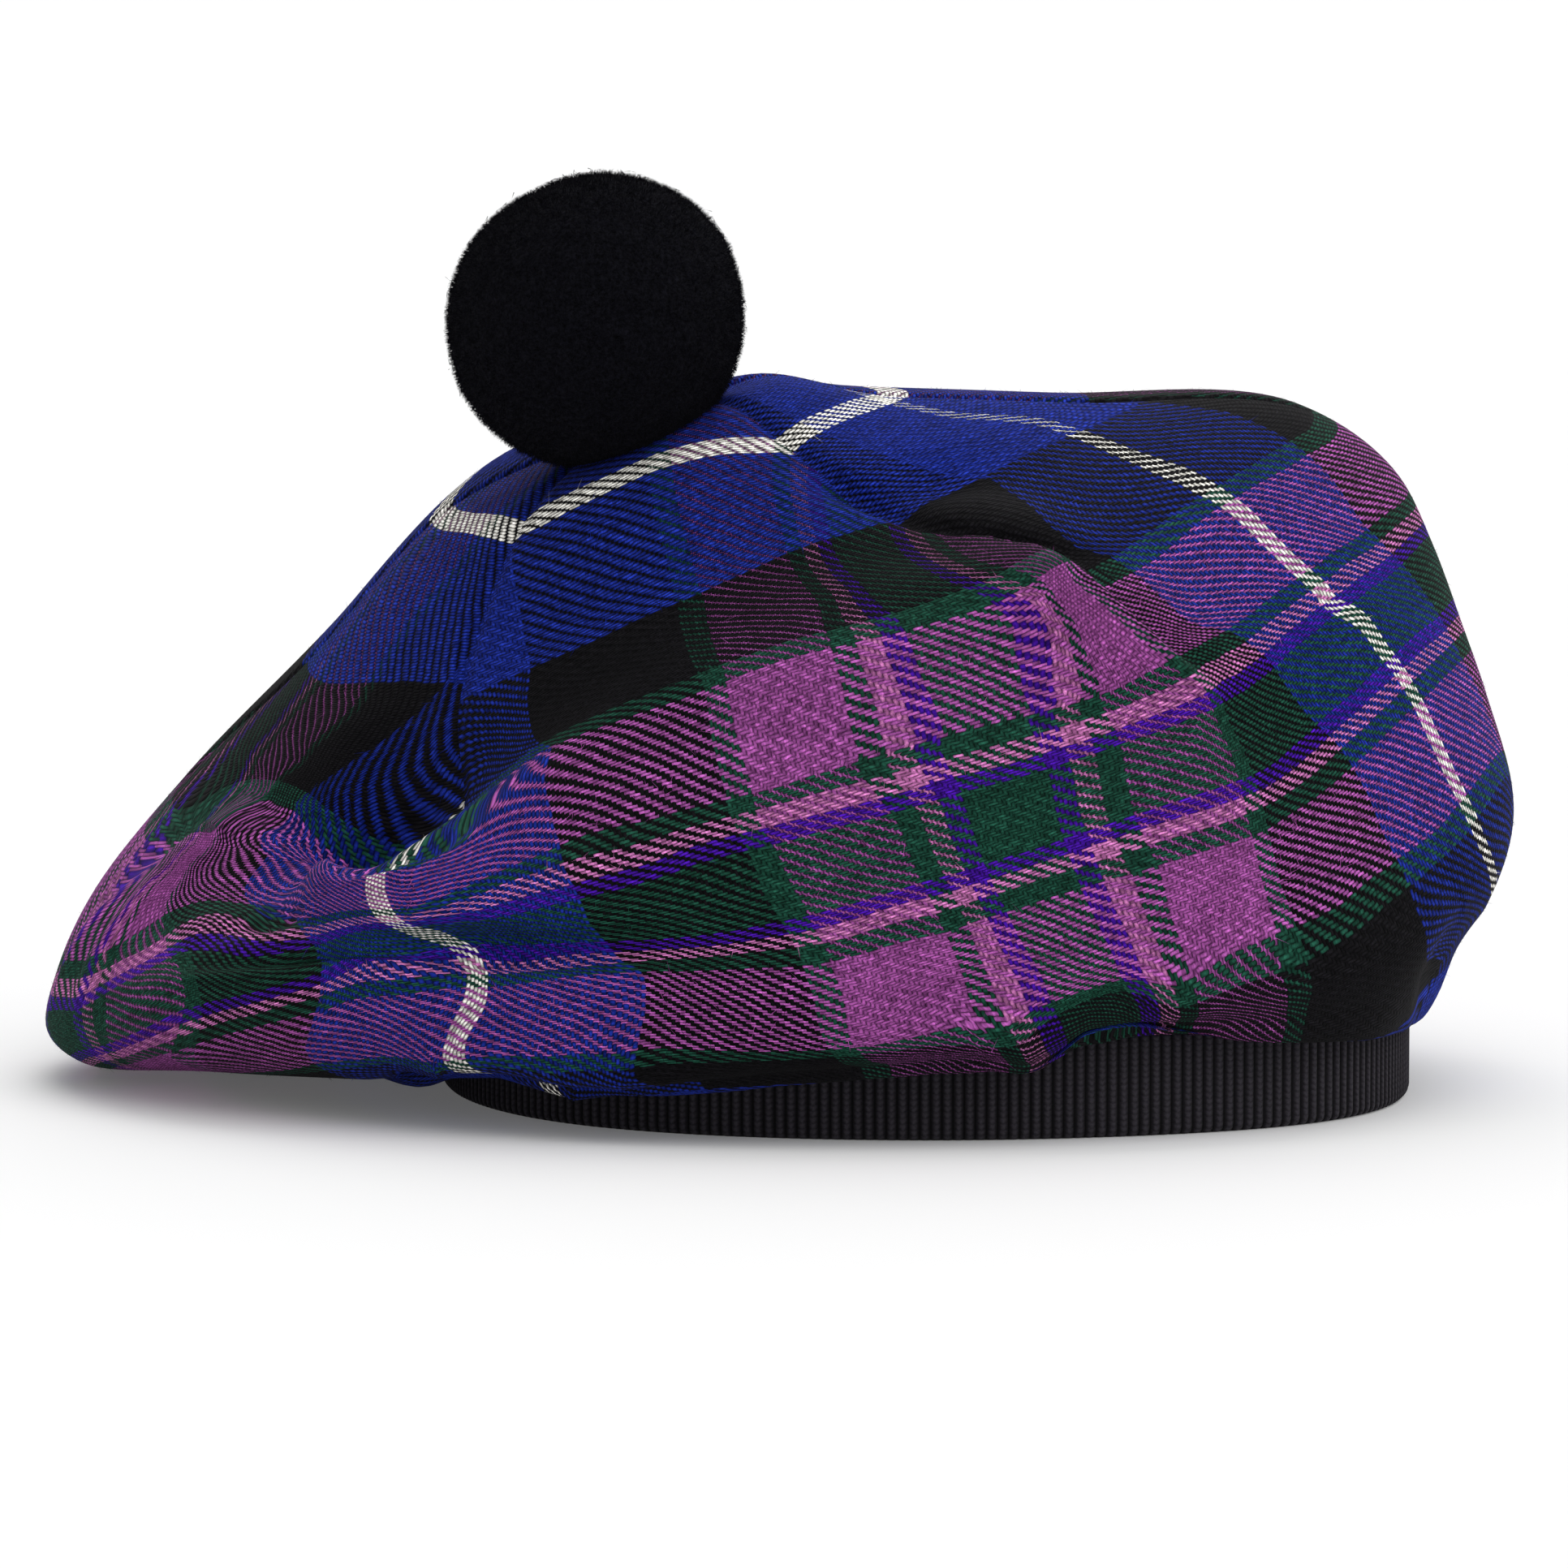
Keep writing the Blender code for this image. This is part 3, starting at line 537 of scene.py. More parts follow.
class CheckShift:
    """How far the check lies from its even place on the cloth, learnt from its lines in the picture."""

    def __init__(self, grid):
        flat = grid.points.reshape(-1, 3)
        faces = quads(*grid.points.shape[:2])
        gore = grid.gore_numbers()[:-1].ravel()
        corners = quad_corners(*grid.cloth_marks())
        form = BVHTree.FromPolygons(flat.tolist(), faces.tolist())
        inside = {number: np.flatnonzero(gore == number) for number in (LEFT, MIDDLE, RIGHT)}
        trees = {number: BVHTree.FromPolygons(flat.tolist(), faces[inside[number]].tolist()) for number in inside}
        self.axes = []
        for axis, lines in enumerate((COLUMN_LINES, HOOP_LINES)):
            at, shift = [], []
            seen = [(value, number, pixel) for value, gores in lines.values() for number, pixels in gores.items()
                    for pixel in zip(pixels[::2], pixels[1::2])]
            for value, number, pixel in seen:
                hit, _, face, _ = form.ray_cast(*pixel_ray(pixel))
                if hit is None:
                    continue
                if gore[face] != number and corners[face, 0, 1] < GORES_END:
                    hit, _, index, _ = trees[number].find_nearest(hit)
                    face = inside[number][index]
                mark = corner_shares(flat[faces[face]], np.array(hit)) @ corners[face]
                at.append(self.spread(np.array(hit)[None], mark[None, 1], gore[face][None])[0])
                shift.append(value - mark[axis])
            at, shift = np.array(at), np.array(shift)
            kernel = SHIFT_STIFFNESS[axis] * np.eye(len(at)) - np.hypot(self.apart(at, at), SHIFT_ROUNDING[axis])
            edge = np.ones((len(at), 1))
            matrix = np.block([[kernel, edge], [edge.T, np.zeros((1, 1))]])
            weights = np.linalg.solve(matrix, np.append(shift, 0))
            self.axes.append((at, weights))

    @staticmethod
    def spread(points, cloth, gore):
        """Points with one more coordinate, which keeps the gores apart down to two thirds of the seams."""
        closed = np.clip((GORES_END - cloth) / GORES_END * 3, 0, 1)
        return np.concatenate([points, (gore * GORE_APART * closed)[:, None]], axis=1)

    @staticmethod
    def apart(first, second):
        """The distances between all points of one array and all of the other."""
        gaps = (first**2).sum(axis=1)[:, None] + (second**2).sum(axis=1)[None] - 2 * first @ second.T
        return np.sqrt(np.clip(gaps, 0, None))

    def moved(self, points, marks, gore):
        """The marks with the shift added."""
        shape = marks.shape
        spread = self.spread(points.reshape(-1, 3), marks[..., 1].ravel(), gore.ravel())
        out = marks.reshape(-1, 2).copy()
        for axis, (at, weights) in enumerate(self.axes):
            apart = self.apart(spread, at)
            fade = np.exp(-((apart.min(axis=1) / SHIFT_FADE) ** SHIFT_FADE_SHARPNESS))
            out[:, axis] += fade * (weights[-1] - np.hypot(apart, SHIFT_ROUNDING[axis]) @ weights[:-1])
        return out.reshape(shape)


def quad_corners(left, right):
    """The marks or places of every quad's four corners, in the order that quads() gives them."""
    return np.stack([left[:-1], left[1:], right[1:], right[:-1]], axis=2).reshape(-1, 4, left.shape[-1])


def corner_shares(corners, point):
    """Shares of a quad's corners that best make up a point in it."""
    weights = 1 / (np.linalg.norm(corners - point, axis=1) ** 2 + 1e-6)
    start = weights / weights.sum()
    whole = 100  # how much it counts that the shares add up to one
    matrix = np.concatenate([corners.T, np.ones((1, 4)) * whole])
    goal = np.append(point, whole)
    return start + np.linalg.lstsq(matrix, goal - matrix @ start, rcond=None)[0]


def pixel_ray(pixel):
    """The camera's place and the direction in which it sees a pixel."""
    place, forward, upward = camera_frame()
    middle = IMAGE_SIDE / 2
    right = np.array([1.0, 0, 0])
    direction = forward * PIXELS_PER_MM * CAMERA_DISTANCE + right * (pixel[0] - middle) - upward * (pixel[1] - middle)
    return Vector(place), Vector(direction).normalized()


def camera_frame():
    """The camera's place, the direction it looks in and its upward direction, in millimetres."""
    tilt = math.radians(CAMERA_ELEVATION)
    forward = np.array([0, math.cos(tilt), -math.sin(tilt)])
    upward = np.array([0, math.sin(tilt), math.cos(tilt)])
    return np.array(CAMERA_TARGET) - forward * CAMERA_DISTANCE, forward, upward


def add_camera():
    place, forward, upward = camera_frame()
    data = bpy.data.cameras.new("camera")
    data.sensor_width = SENSOR
    data.lens = SENSOR * PIXELS_PER_MM * CAMERA_DISTANCE / IMAGE_SIDE
    data.clip_end = CAMERA_REACH
    camera = bpy.data.objects.new("camera", data)
    camera.location = Vector(place) * MM
    camera.rotation_euler = (math.radians(90 - CAMERA_ELEVATION), 0, 0)
    bpy.context.scene.collection.objects.link(camera)
    bpy.context.scene.camera = camera


# ---------------------------------------------------------------- the looks
class Nodes:
    """Adds nodes to a material or a world, with their inputs as numbers, colours or other nodes' outputs."""

    def __init__(self, owner):
        owner.use_nodes = True
        self.owner, self.tree = owner, owner.node_tree

    def add(self, kind, output=0, inputs=None, **settings):
        """One output of a new node, whose own settings are given by their names."""
        node = self.tree.nodes.new(kind)
        for key, value in settings.items():
            setattr(node, key, value)
        for key, value in (inputs or {}).items():
            self.put(node.inputs[key], value)
        return node.outputs[output]

    def put(self, socket, value):
        if isinstance(value, bpy.types.NodeSocket):
            self.tree.links.new(value, socket)
        else:
            socket.default_value = value

    def math(self, operation, *values):
        return self.add("ShaderNodeMath", inputs=dict(enumerate(values)), operation=operation)

    def product(self, value, *others):
        for other in others:
            value = self.math("MULTIPLY", value, other)
        return value

    def vary(self, value, least, more):
        """Least where the value is zero, and more on top of it where it is one."""
        return self.math("MULTIPLY_ADD", value, more, least)

    def noise(self, place, scale, detail, roughness=0.5, output=0):
        inputs = {"Vector": place, "Scale": scale, "Detail": detail, "Roughness": roughness}
        return self.add("ShaderNodeTexNoise", output, inputs)

    def mix(self, share, first, second, blend="MIX"):
        return self.add("ShaderNodeMix", 2, {0: share, 6: first, 7: second}, data_type="RGBA", blend_type=blend)

    def ramp(self, share, stops, interpolation="LINEAR"):
        output = self.add("ShaderNodeValToRGB", inputs={0: share})
        ramp = output.node.color_ramp
        ramp.interpolation = interpolation
        while len(ramp.elements) < len(stops):
            ramp.elements.new(1)
        for element, (place, color) in zip(ramp.elements, stops):
            element.position = place
            element.color = (*color, 1)[:4]
        return output

    def bump(self, relief, strength, height):
        """The relief as a bump, with its height in millimetres."""
        return self.add("ShaderNodeBump", inputs={"Strength": strength, "Distance": height * MM, "Height": relief})

    def finish(self, sockets):
        """The material, with its shader's inputs set by their names."""
        for key, value in sockets.items():
            self.put(self.tree.nodes["Principled BSDF"].inputs[key], value)
        return self.owner


def linear(red, green, blue):
    """A colour given as it looks on a screen, 0 to 255, as light."""
    return tuple(((c / 255 + 0.055) / 1.055) ** 2.4 if c > 10 else c / 255 / 12.92 for c in (red, green, blue))


WOOLS = {
    "white": linear(240, 237, 230),
    "blue": linear(25, 43, 138),
    "black": linear(15, 14, 17),
    "green": linear(22, 62, 49),
    "magenta": linear(142, 71, 138),
    "pink": linear(172, 100, 154),
    "violet": linear(60, 16, 140),
}
# How thick a wool is spun against the others, which tells how much it covers what it crosses.
THICKNESSES = {
    "white": 0.95, "blue": 1.6, "black": 0.88, "green": 0.67, "magenta": 0.4, "pink": 0.42, "violet": 0.7,
}
# The sett: which wool runs up to which share of the half sett, from the white stripe to the wide green one.
SETT = (
    ("white", 0.023), ("blue", 0.2913), ("black", 0.570), ("green", 0.610), ("magenta", 0.809),
    ("green", 0.849), ("pink", 0.8845), ("violet", 0.9228), ("green", 1.0),
)


def sett_stops():
    """Where each wool starts, its colour and its thickness."""
    stops, start = [], 0
    for wool, end in SETT:
        stops.append((start, (*WOOLS[wool], THICKNESSES[wool])))
        start = end
    return stops


WARP_THICKNESS = 0.62  # against the weft's, so that the weft covers more of the cloth
WARP_NEAR_PEAK = 0.4  # the weft lies closer in the gores' narrow part
NARROW_PART = (80, 115)  # the cloth over which that part ends
WARP_FLOAT, WEFT_FLOAT = 1.75, 1.85  # half the length of a thread's arch, in threads that it crosses
WEFT_BETWEEN = 0.07  # the weft's height where it shows between two warps
WARP_DEPTH_SHADE = 0.68  # painted shade of the warp, which lies deeper: how bright it is against the weft
WARP_SEED, WEFT_SEED = 1000.5, 5000.5  # for the tones of the threads
BOW_SHADE_SHARPNESS = 1.5  # painted shade: how fast a thread darkens towards its sides and the ends of its float
WAVERS = ((900.0, 0.3), (90.0, 1.2))  # how the threads stray: turns to a metre, and how far
# How bright the cloth is by each of these: where it is zero, and how much more where it is one.
TONES = {
    # The bow is painted shade, darker at a thread's sides and float ends and lighter on its crest; the rest vary at
    # random.
    "thread": (0.85, 0.3), "crossing": (0.6, 0.8), "bow": (0.06, 1.6), "fibre": (0.0, 2.0), "patch": (0.8, 0.4),
    "fleck": (0.3, 1.4),
}
# Noises of the wools: how many to a metre, and their detail and roughness.
FIBRE, PATCH, FLECK = (2600.0, 3.0, 0.7), (60.0, 3.0), (650.0, 1.0)
KNIT_FIBRE, PILE_FIBRE = (1800.0, 4.0, 0.7), (1500.0, 4.0, 0.75)
FIBRE_RELIEF = 0.3  # of a fibre, where a thread's is one
TWILL_BUMP, KNIT_BUMP, PILE_BUMP = (1.0, 0.3), (0.9, 0.4), (0.8, 0.8)  # strength and height
TWILL_FINISH = {"Roughness": 0.85, "Specular IOR Level": 0.04, "Sheen Weight": 0.015, "Sheen Roughness": 0.5}
KNIT_FINISH = {"Roughness": 0.9, "Specular IOR Level": 0.1, "Sheen Weight": 0.02}
PILE_FINISH = {"Roughness": 1.0, "Specular IOR Level": 0.03, "Sheen Weight": 0.01, "Sheen Roughness": 0.6}
# The floor glows a little: painted light that lifts its shadows and lights the hat from below.
FLOOR_FINISH_AND_GLOW = {
    "Base Color": (0.83, 0.83, 0.83, 1), "Roughness": 0.9, "Specular IOR Level": 0.0,
    "Emission Color": (1, 1, 1, 1), "Emission Strength": 0.09,
}


def twill_material():
    """2/2 twill, thread by thread, with painted shade between the threads, on the cloth's UV map in metres: round the
    crown, and down from the peak.
    """
    n = Nodes(bpy.data.materials.new("checked_wool_twill"))
    place = bent = n.add("ShaderNodeUVMap", uv_map="cloth")
    for scale, reach in WAVERS:
        noise = n.noise(place, scale, 2.0, output=1)
        centred = n.add("ShaderNodeVectorMath", inputs={0: noise, 1: (0.5, 0.5, 0.5)}, operation="SUBTRACT")
        stray = n.add("ShaderNodeVectorMath", inputs={0: centred, 3: reach * MM}, operation="SCALE")
        bent = n.add("ShaderNodeVectorMath", inputs={0: bent, 1: stray}, operation="ADD")
    parts = n.add("ShaderNodeSeparateXYZ", inputs={0: bent}).node.outputs
    warp_at = n.math("DIVIDE", parts[0], WARP_PITCH * MM)
    weft_at = n.math("DIVIDE", parts[1], WEFT_PITCH * MM)
    warp, weft = n.math("FLOOR", warp_at), n.math("FLOOR", weft_at)
    in_warp, in_weft = n.math("FRACT", warp_at), n.math("FRACT", weft_at)

    def wool(thread, pitch, start, half_sett, seed):
        middle = n.math("MULTIPLY_ADD", thread, pitch, pitch / 2 - start)
        stripe = n.math("DIVIDE", n.math("PINGPONG", middle, half_sett), half_sett)
        color = n.ramp(stripe, sett_stops(), "CONSTANT")
        uneven = n.add("ShaderNodeTexWhiteNoise", inputs={"W": n.math("ADD", thread, seed)}, noise_dimensions="1D")
        return color, n.vary(uneven, *TONES["thread"]), color.node.outputs["Alpha"]

    warp_wool, warp_tone, warp_round = wool(warp, WARP_PITCH, 0, HALF_SETT, WARP_SEED)
    weft_wool, weft_tone, weft_round = wool(weft, WEFT_PITCH, FIRST_WHITE_HOOP, HOOP_HALF_SETT, WEFT_SEED)

    # Over two, under two, one thread further on in each row. Each thread is round across, and arched along
    # where it floats. The higher of the two shows.
    turn = n.math("FLOORED_MODULO", n.math("SUBTRACT", warp, weft), 4.0)

    def round_across(inside):
        return n.math("SQRT", n.math("MAXIMUM", n.math("SINE", n.math("MULTIPLY", inside, math.pi)), 0.0))

    def arch(along, middle, reach, low):
        off = n.math("DIVIDE", n.math("PINGPONG", n.math("SUBTRACT", along, middle), 2.0), reach)
        return n.math("MAXIMUM", n.math("SUBTRACT", 1.0, n.math("MULTIPLY", off, off)), low)

    warp_arch = arch(n.math("SUBTRACT", n.math("ADD", turn, 1.0), in_weft), 1.0, WARP_FLOAT, 0.0)
    weft_arch = arch(n.math("ADD", turn, in_warp), 3.0, WEFT_FLOAT, WEFT_BETWEEN)
    thickness = n.add("ShaderNodeMapRange", inputs={
        0: parts[1], 1: NARROW_PART[0] * MM, 2: NARROW_PART[1] * MM, 3: WARP_NEAR_PEAK, 4: WARP_THICKNESS,
    }, interpolation_type="SMOOTHSTEP")
    warp_bow = n.product(round_across(in_warp), warp_arch)
    weft_bow = n.product(round_across(in_weft), weft_arch)
    warp_height = n.product(warp_bow, thickness, warp_round)
    weft_height = n.product(weft_bow, weft_round)
    warp_shows = n.math("GREATER_THAN", warp_height, weft_height)
    height = n.math("MAXIMUM", warp_height, weft_height)
    color = n.mix(warp_shows, weft_wool, warp_wool)

    def shown(weft_value, warp_value):
        return n.add("ShaderNodeMix", inputs={0: warp_shows, 2: weft_value, 3: warp_value}, data_type="FLOAT")

    # Painted shade between the threads: each darkens towards its sides and the ends of its float.
    bow = n.math("POWER", shown(weft_bow, warp_bow), BOW_SHADE_SHARPNESS)
    tone = shown(weft_tone, n.math("MULTIPLY", warp_tone, WARP_DEPTH_SHADE))
    crossing = n.add("ShaderNodeCombineXYZ", inputs={0: warp, 1: weft})
    crossing = n.add("ShaderNodeTexWhiteNoise", inputs={"Vector": crossing}, noise_dimensions="3D")
    tone = n.product(tone, n.vary(crossing, *TONES["crossing"]))
    fibre = n.noise(place, *FIBRE)
    shade = n.product(
        n.vary(bow, *TONES["bow"]), tone, n.vary(fibre, *TONES["fibre"]),
        n.vary(n.noise(place, *PATCH), *TONES["patch"]), n.vary(n.noise(place, *FLECK), *TONES["fleck"]))
    shaded = n.mix(1.0, color, n.add("ShaderNodeCombineColor", inputs={0: shade, 1: shade, 2: shade}), "MULTIPLY")
    relief = n.bump(n.vary(fibre, height, FIBRE_RELIEF), *TWILL_BUMP)
    return n.finish({"Base Color": shaded, "Normal": relief, **TWILL_FINISH})


STITCH_ROW = 1.1  # height of one row of the knit
STITCH_LEAN = 0.9  # how steeply a leg of a stitch climbs to the middle of its rib
STITCH_HEIGHT = (0.7, 0.3)  # of the rib's height: between two stitches, and how much more on one
KNIT_TONE = (0.4, 1.2)  # where the fibre is darkest, and how much more where it is lightest
RIB_PITCH = 2 * math.pi * BAND_RADIUS / RIB_COUNT
# The charcoal wool by the knit's height: painted shade, darker in the grooves and between stitches, lighter on the
# ribs.
KNIT_GROOVE_SHADED_COLORS = ((0.1, linear(13, 12, 14)), (0.5, linear(31, 29, 33)), (1.0, linear(56, 53, 59)))


def knit_material():
    """Ribs, each a column of stitches whose two legs lean towards its middle, with painted shade in the grooves and
    between stitches.
    """
    n = Nodes(bpy.data.materials.new("charcoal_ribbed_knit"))
    place = n.add("ShaderNodeUVMap", uv_map="cloth")
    parts = n.add("ShaderNodeSeparateXYZ", inputs={0: place}).node.outputs
    fibre = n.noise(place, *KNIT_FIBRE)
    across = n.math("FRACT", n.math("DIVIDE", parts[0], RIB_PITCH * MM))
    rib = n.math("SINE", n.math("MULTIPLY", across, math.pi))
    lean = n.math("MULTIPLY", n.math("PINGPONG", across, 0.5), STITCH_LEAN)
    row = n.math("FRACT", n.math("ADD", n.math("DIVIDE", parts[1], STITCH_ROW * MM), lean))
    leg = n.math("SINE", n.math("MULTIPLY", row, math.pi))
    height = n.product(rib, n.vary(leg, *STITCH_HEIGHT))
    color = n.ramp(n.product(height, n.vary(fibre, *KNIT_TONE)), KNIT_GROOVE_SHADED_COLORS)
    relief = n.bump(n.vary(fibre, height, FIBRE_RELIEF), *KNIT_BUMP)
    return n.finish({"Base Color": color, "Normal": relief, **KNIT_FINISH})


TUFTS = 900.0  # to a metre
TUFT_RELIEF = 0.7  # of the gaps between them, where a fibre's is one
PILE_COLORS = ((0.35, linear(5, 5, 7)), (0.75, linear(27, 27, 35)))


def pile_material():
    """Fibres in small tufts, on the pompom's own coordinates."""
    n = Nodes(bpy.data.materials.new("black_shorn_pile"))
    place = n.add("ShaderNodeTexCoord", "Object")
    tuft = n.add("ShaderNodeTexVoronoi", inputs={"Vector": place, "Scale": TUFTS})
    fibre = n.noise(place, *PILE_FIBRE)
    relief = n.bump(n.math("SUBTRACT", fibre, n.math("MULTIPLY", tuft, TUFT_RELIEF)), *PILE_BUMP)
    return n.finish({"Base Color": n.ramp(fibre, PILE_COLORS), "Normal": relief, **PILE_FINISH})


# ---------------------------------------------------------------- the pieces
def link_mesh(name, points, faces, material):
    """A new smooth object in the scene, from points in millimetres."""
    mesh = bpy.data.meshes.new(name)
    mesh.from_pydata(np.asarray(points) * MM, [], faces)
    mesh.materials.append(material)
    mesh.shade_smooth()
    made = bpy.data.objects.new(name, mesh)
    bpy.context.scene.collection.objects.link(made)
    return made


def link_fibres(name, roots, sides, tips, material):
    """Fibres, a thin triangle each: a side to either side of its root, and its tip."""
    points = np.stack([roots - sides, roots + sides, tips], axis=1).reshape(-1, 3)
    return link_mesh(name, points, np.arange(len(points)).reshape(-1, 3).tolist(), material)


def write_uv(mesh, corners):
    layer = mesh.uv_layers.new(name="cloth")
    layer.data.foreach_set("uv", np.asarray(corners, np.float32).ravel())


def quads(rows, columns, first=0):
    """Quads of a grid closed round its columns, each as its four corners, with the peak's row at the top."""
    row, column = np.meshgrid(np.arange(rows - 1), np.arange(columns), indexing="ij")
    after = (column + 1) % columns
    corners = np.stack([row * columns + column, (row + 1) * columns + column,
                        (row + 1) * columns + after, row * columns + after], axis=-1)
    return first + corners.reshape(-1, 4)


def inner_face(grid):
    """The cloth's inner face: the outer one set in by the wall, and a plain turn behind the lip."""
    inner = grid.points - normals(grid.points) * CLOTH_WALL
    azimuth = grid.azimuth[-1]
    hem = ring(BAND_RADIUS - BAND_WALL + GAP + swell(azimuth), azimuth, grid.points[-1, :, 2])
    start = np.searchsorted(grid.cloth, HOOPS["under_turn"][0])
    for row in range(start + 1, len(inner)):
        share = (row - start) / (len(inner) - 1 - start)
        rising = np.array([0, 0, LIP_ROOM * math.sin(math.pi * share)])
        inner[row] = inner[start] * (1 - share) + hem * share + rising
    return inner


def lie_marks(grid, shift):
    """Where the cloth's pattern lies on each face's corners, as the picture shows it."""
    gore = grid.gore_numbers()
    return quad_corners(*(shift.moved(at, marks, gore) for at, marks in zip(grid.sides(), grid.cloth_marks())))


HAIR_COUNT = 17500
HAIR_LENGTH = (0.8, 3.2)  # shortest and longest
HAIR_WIDTH = 0.09
HAIR_LIFT = 0.12  # how steeply the hairs stand off the cloth
HAIR_CLEARANCE = 0.1  # by which a tip clears the cloth
HAIRLESS_ROWS = 12  # mesh rows at the hem, where the cloth turns under the band


def make_stray_hairs(grid, marks, material):
    """Single fibres that stand off the wool, in the colour of the thread at their root."""
    rng = np.random.default_rng(11)
    corners = quad_corners(*grid.sides())
    outward = np.cross(corners[:, 2] - corners[:, 0], corners[:, 3] - corners[:, 1])
    area = np.linalg.norm(outward, axis=1)
    area[-HAIRLESS_ROWS * grid.points.shape[1]:] = 0
    face = rng.choice(len(area), HAIR_COUNT, p=area / area.sum())
    share = rng.dirichlet(np.ones(4), HAIR_COUNT)[..., None]
    root = (corners[face] * share).sum(axis=1)
    outward = unit(outward[face])
    lie = unit(np.cross(outward, rng.normal(size=root.shape)))
    lean = lie + outward * HAIR_LIFT * np.abs(rng.normal(size=(HAIR_COUNT, 1)))
    tip = root + lean * rng.uniform(*HAIR_LENGTH, size=(HAIR_COUNT, 1)) + outward * HAIR_CLEARANCE
    side = unit(np.cross(lean, outward)) * HAIR_WIDTH / 2
    hairs = link_fibres("crown_stray_hairs", root, side, tip, material)
    write_uv(hairs.data, np.repeat((marks[face] * share).sum(axis=1), 3, axis=0) * MM)
    return hairs


def make_crown(material):
    """The crown as closed cloth: its outer face, a coarser inner one, and what joins them at the peak and the hem."""
    outer, coarse = CrownGrid(), CrownGrid(every=2)
    creases = Creases(outer)
    for grid in (outer, coarse):
        grid.points = creases.moved(grid)
    inner = inner_face(coarse)
    rows, columns = outer.points.shape[:2]
    inner_rows, inner_columns = inner.shape[:2]
    inside = rows * columns
    peak = inside + inner_rows * inner_columns
    points = np.concatenate([
        outer.points.reshape(-1, 3), inner.reshape(-1, 3),
        [outer.points[0].mean(axis=0), inner[0].mean(axis=0)],
    ])
    faces = quads(rows, columns).tolist() + quads(inner_rows, inner_columns, inside)[:, ::-1].tolist()
    faces += [(peak, k, (k + 1) % columns) for k in range(columns)]
    faces += [(peak + 1, inside + (k + 1) % inner_columns, inside + k) for k in range(inner_columns)]
    hem, hem_inside = inside - columns, peak - inner_columns
    for k in range(inner_columns):
        after = (k + 1) % inner_columns
        faces.append((hem + 2 * k, hem_inside + k, hem_inside + after, hem + 2 * after, hem + 2 * k + 1))
    shift = CheckShift(outer)
    marks, inner_marks = lie_marks(outer, shift), lie_marks(coarse, shift)
    crown = link_mesh("crown_cloth", points, faces, material)
    write_uv(crown.data, MM * np.concatenate([
        marks.reshape(-1, 2), inner_marks[:, ::-1].reshape(-1, 2),
        np.zeros((3 * (columns + inner_columns), 2)), np.tile([0, outer.cloth[-1]], (5 * inner_columns, 1)),
    ]))
    return crown, make_stray_hairs(outer, marks, material)


RIB_POINTS = 6  # mesh points across one rib
RIB_BLUNTNESS = 0.7  # one gives a sine's roundness, and less is squarer
BAND_ROWS, INSIDE_ROWS = 8, 4  # of the mesh, up its outside and down its inside


def make_headband(material):
    """A doubled tube of knit: ribs up its outside, over its rounded edges, and smooth inside."""
    count = RIB_COUNT * RIB_POINTS
    azimuth = np.arange(count) * 360 / count
    rib = np.abs(np.sin(np.arange(count) * math.pi / RIB_POINTS)) ** RIB_BLUNTNESS
    edge = BAND_WALL / 2
    low, high = edge, BAND_HEIGHT - edge

    def rounded(angles, height):
        return [(edge + edge * math.cos(angle), height + edge * math.sin(angle)) for angle in np.radians(angles)]

    # How far each ring lies from the inside, and its height: from the bottom up the outside and down the inside.
    path = rounded(range(-90, 1, 30), low)
    path += [(2 * edge, height) for height in np.linspace(low, high, BAND_ROWS)[1:]]
    path += rounded(range(30, 181, 30), high)
    path += [(0, height) for height in np.linspace(high, low, INSIDE_ROWS)[1:]]
    path += rounded((210, 240), low)
    base = BAND_RADIUS - BAND_WALL + swell(azimuth)
    rings, lengths, run = [], [], 0.0
    for number, (reach, height) in enumerate(path):
        rings.append(ring(base + reach - RIB_DEPTH * (1 - rib) * reach / (2 * edge), azimuth, height))
        if number:
            run += math.dist(path[number - 1], path[number])
        lengths.append(run)
    rows = len(rings)
    faces = quads(rows + 1, count)[:, [0, 3, 2, 1]] % (rows * count)
    band = link_mesh("headband_knit", np.array(rings).reshape(-1, 3), faces.tolist(), material)
    left = np.repeat(np.radians(azimuth)[None] * BAND_RADIUS, rows, axis=0)
    right = left + left[0, 1]
    start = np.repeat(np.array(lengths)[:, None], count, axis=1)
    end = np.repeat(np.array(lengths[1:] + [run + 1])[:, None], count, axis=1)
    corners = [np.stack([left, right, right, left], axis=-1), np.stack([start, start, end, end], axis=-1)]
    write_uv(band.data, np.stack(corners, axis=-1).reshape(-1, 2) * MM)
    return band


POMPOM_CENTRE = (-62.2, -3.0, 145.3)
POMPOM_RADIUS = 28.8
# Where the trimmed ball is cut a little flatter.
POMPOM_FLAT = (-0.62, -0.3, 0.72)
POMPOM_FLAT_SHARE = 0.03
POMPOM_FLAT_SHARPNESS = 8
# Where else it stands out or is cut flatter: direction, millimetres, sharpness.
POMPOM_SWELLS = (
    ((0.75, -0.1, 0.65), 0.9, 10),
    ((-0.68, -0.2, -0.7), 0.8, 6),
    ((-0.35, -0.2, 0.92), -1.0, 12),
    ((0.5, -0.85, 0.1), 0.5, 8),
    ((-0.3, 0.9, 0.3), 0.6, 8),
)
LUMP_WAVES, LUMP_CLOSENESS, LUMP_RISE = 60, 30, 1.1  # waves that run all ways over the ball, and their mean's height
PILE_STRANDS = 75000
PILE_LENGTH = 1.6
PILE_WIDTH = 0.17
PILE_DEPTH = 1.2  # how far the ball lies under the tips of the pile
PILE_LEAN = 0.35  # how far off straight a strand may stand
PILE_UNEVEN = 0.25  # how much of the depth a strand is cut shorter by


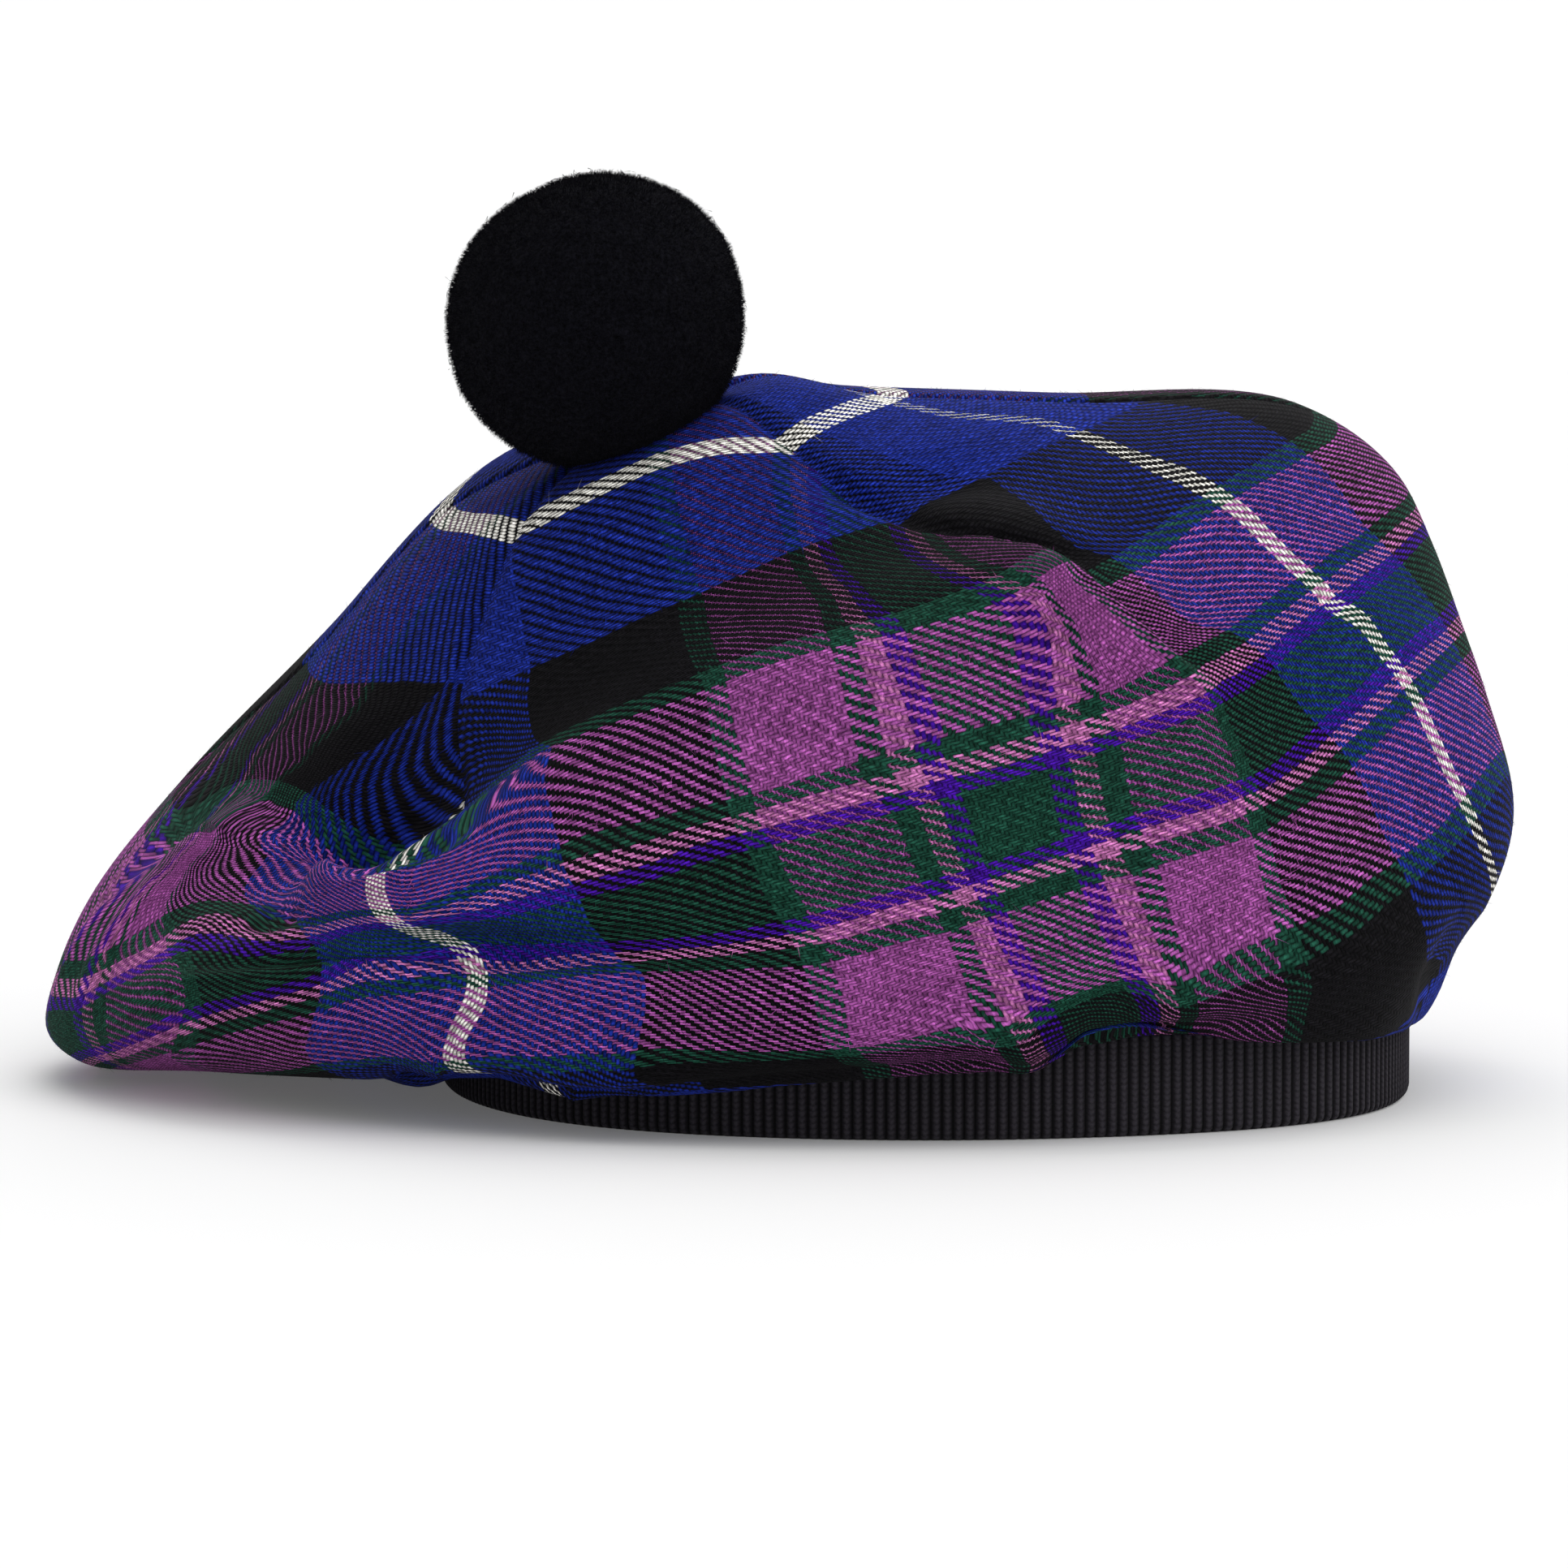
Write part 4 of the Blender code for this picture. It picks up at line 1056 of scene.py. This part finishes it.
def make_pompom(material):
    """A lumpy ball, and shorn strands all over it."""
    bpy.ops.object.select_all(action="DESELECT")
    bpy.ops.mesh.primitive_ico_sphere_add(subdivisions=6, radius=1)
    ball = bpy.context.object.data
    directions = unit(np.array([vertex.co for vertex in ball.vertices]))
    faces = [tuple(face.vertices) for face in ball.polygons]
    bpy.data.meshes.remove(ball)
    rng = np.random.default_rng(5)
    waves = rng.normal(size=(LUMP_WAVES, 3)) * LUMP_CLOSENESS
    phase = rng.uniform(0, 2 * math.pi, LUMP_WAVES)

    def surface(toward):
        """How far from the centre the tips of the pile lie."""
        cut = np.clip(toward @ unit(np.array(POMPOM_FLAT)), 0, None) ** POMPOM_FLAT_SHARPNESS
        reach = POMPOM_RADIUS * (1 - POMPOM_FLAT_SHARE * cut)
        reach += np.sin(toward @ waves.T + phase).mean(axis=1) * LUMP_RISE
        for direction, rise, sharpness in POMPOM_SWELLS:
            reach += rise * np.clip(toward @ unit(np.array(direction)), 0, None) ** sharpness
        return reach

    centre = np.array(POMPOM_CENTRE)
    points = centre + directions * (surface(directions) - PILE_DEPTH)[:, None]
    toward = unit(rng.normal(size=(PILE_STRANDS, 3)))
    lean = unit(toward + rng.normal(size=toward.shape) * PILE_LEAN)
    side = unit(np.cross(lean, rng.normal(size=toward.shape))) * PILE_WIDTH / 2
    tip = surface(toward) - PILE_DEPTH * PILE_UNEVEN * np.abs(rng.normal(size=PILE_STRANDS))
    tips = centre + toward * tip[:, None]
    pile = link_mesh("pompom_pile", points, faces, material)
    return pile, link_fibres("pompom_strands", tips - lean * PILE_LENGTH, side, tips, material)


FLOOR_SIZE = 12  # metres


def add_floor():
    bpy.ops.object.select_all(action="DESELECT")
    bpy.ops.mesh.primitive_plane_add(size=FLOOR_SIZE)
    floor = bpy.context.object
    floor.name = "floor"
    # A faint glow on the floor, painted light that lifts its shadows.
    floor.data.materials.append(Nodes(bpy.data.materials.new("glowing_white_floor")).finish(FLOOR_FINISH_AND_GLOW))


# By name: where the light comes from, its width in degrees, and watts per square metre.
LIGHTS = {
    "top_behind": ((0.1, 0.95, 1.0), 60, 1.2),
    "front_right": ((0.5, -0.6, 1.3), 60, 0.8),
}
# Light of the studio's walls and ceiling by the sine of the height over the horizon, and the share of it that is
# left towards the darker side, by how far it is to the right, from -1 to 1.
STUDIO_LIGHT = ((0.0, 1.03), (0.03, 1.0), (0.2, 0.75), (1.0, 0.75))
STUDIO_SIDES = ((-0.9, 0.3), (-0.15, 1.0), (1.0, 1.0))


def add_light():
    for name, (place, width, strength) in LIGHTS.items():
        data = bpy.data.lights.new(name, "SUN")
        data.angle = math.radians(width)
        data.energy = strength
        light = bpy.data.objects.new(name, data)
        light.location = place
        light.rotation_euler = (-Vector(place)).to_track_quat("-Z", "Y").to_euler()
        bpy.context.scene.collection.objects.link(light)
    n = Nodes(bpy.data.worlds.new("white_studio"))
    split = n.add("ShaderNodeSeparateXYZ", inputs={0: n.add("ShaderNodeTexCoord", "Generated")}).node
    walls = []
    for output, low, steps in (("Z", 0, STUDIO_LIGHT), ("X", -1, STUDIO_SIDES)):
        place = n.add("ShaderNodeMapRange", inputs={"Value": split.outputs[output], "From Min": low})
        walls.append(n.ramp(place, [((at - low) / (1 - low), (light,) * 3) for at, light in steps]))
    n.put(n.tree.nodes["Background"].inputs["Color"], n.mix(1, *walls, "MULTIPLY"))
    bpy.context.scene.world = n.owner
    bpy.context.scene.view_settings.view_transform = "Standard"


add_camera()
add_light()
add_floor()

crown, stray_hairs = make_crown(twill_material())
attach(crown, "root")
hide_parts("crown")
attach(stray_hairs, "root")

band = make_headband(knit_material())
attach(band, "root")
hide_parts("headband")

pompom, strands = make_pompom(pile_material())
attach(pompom, "root")
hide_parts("pompom")
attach(strands, "root")
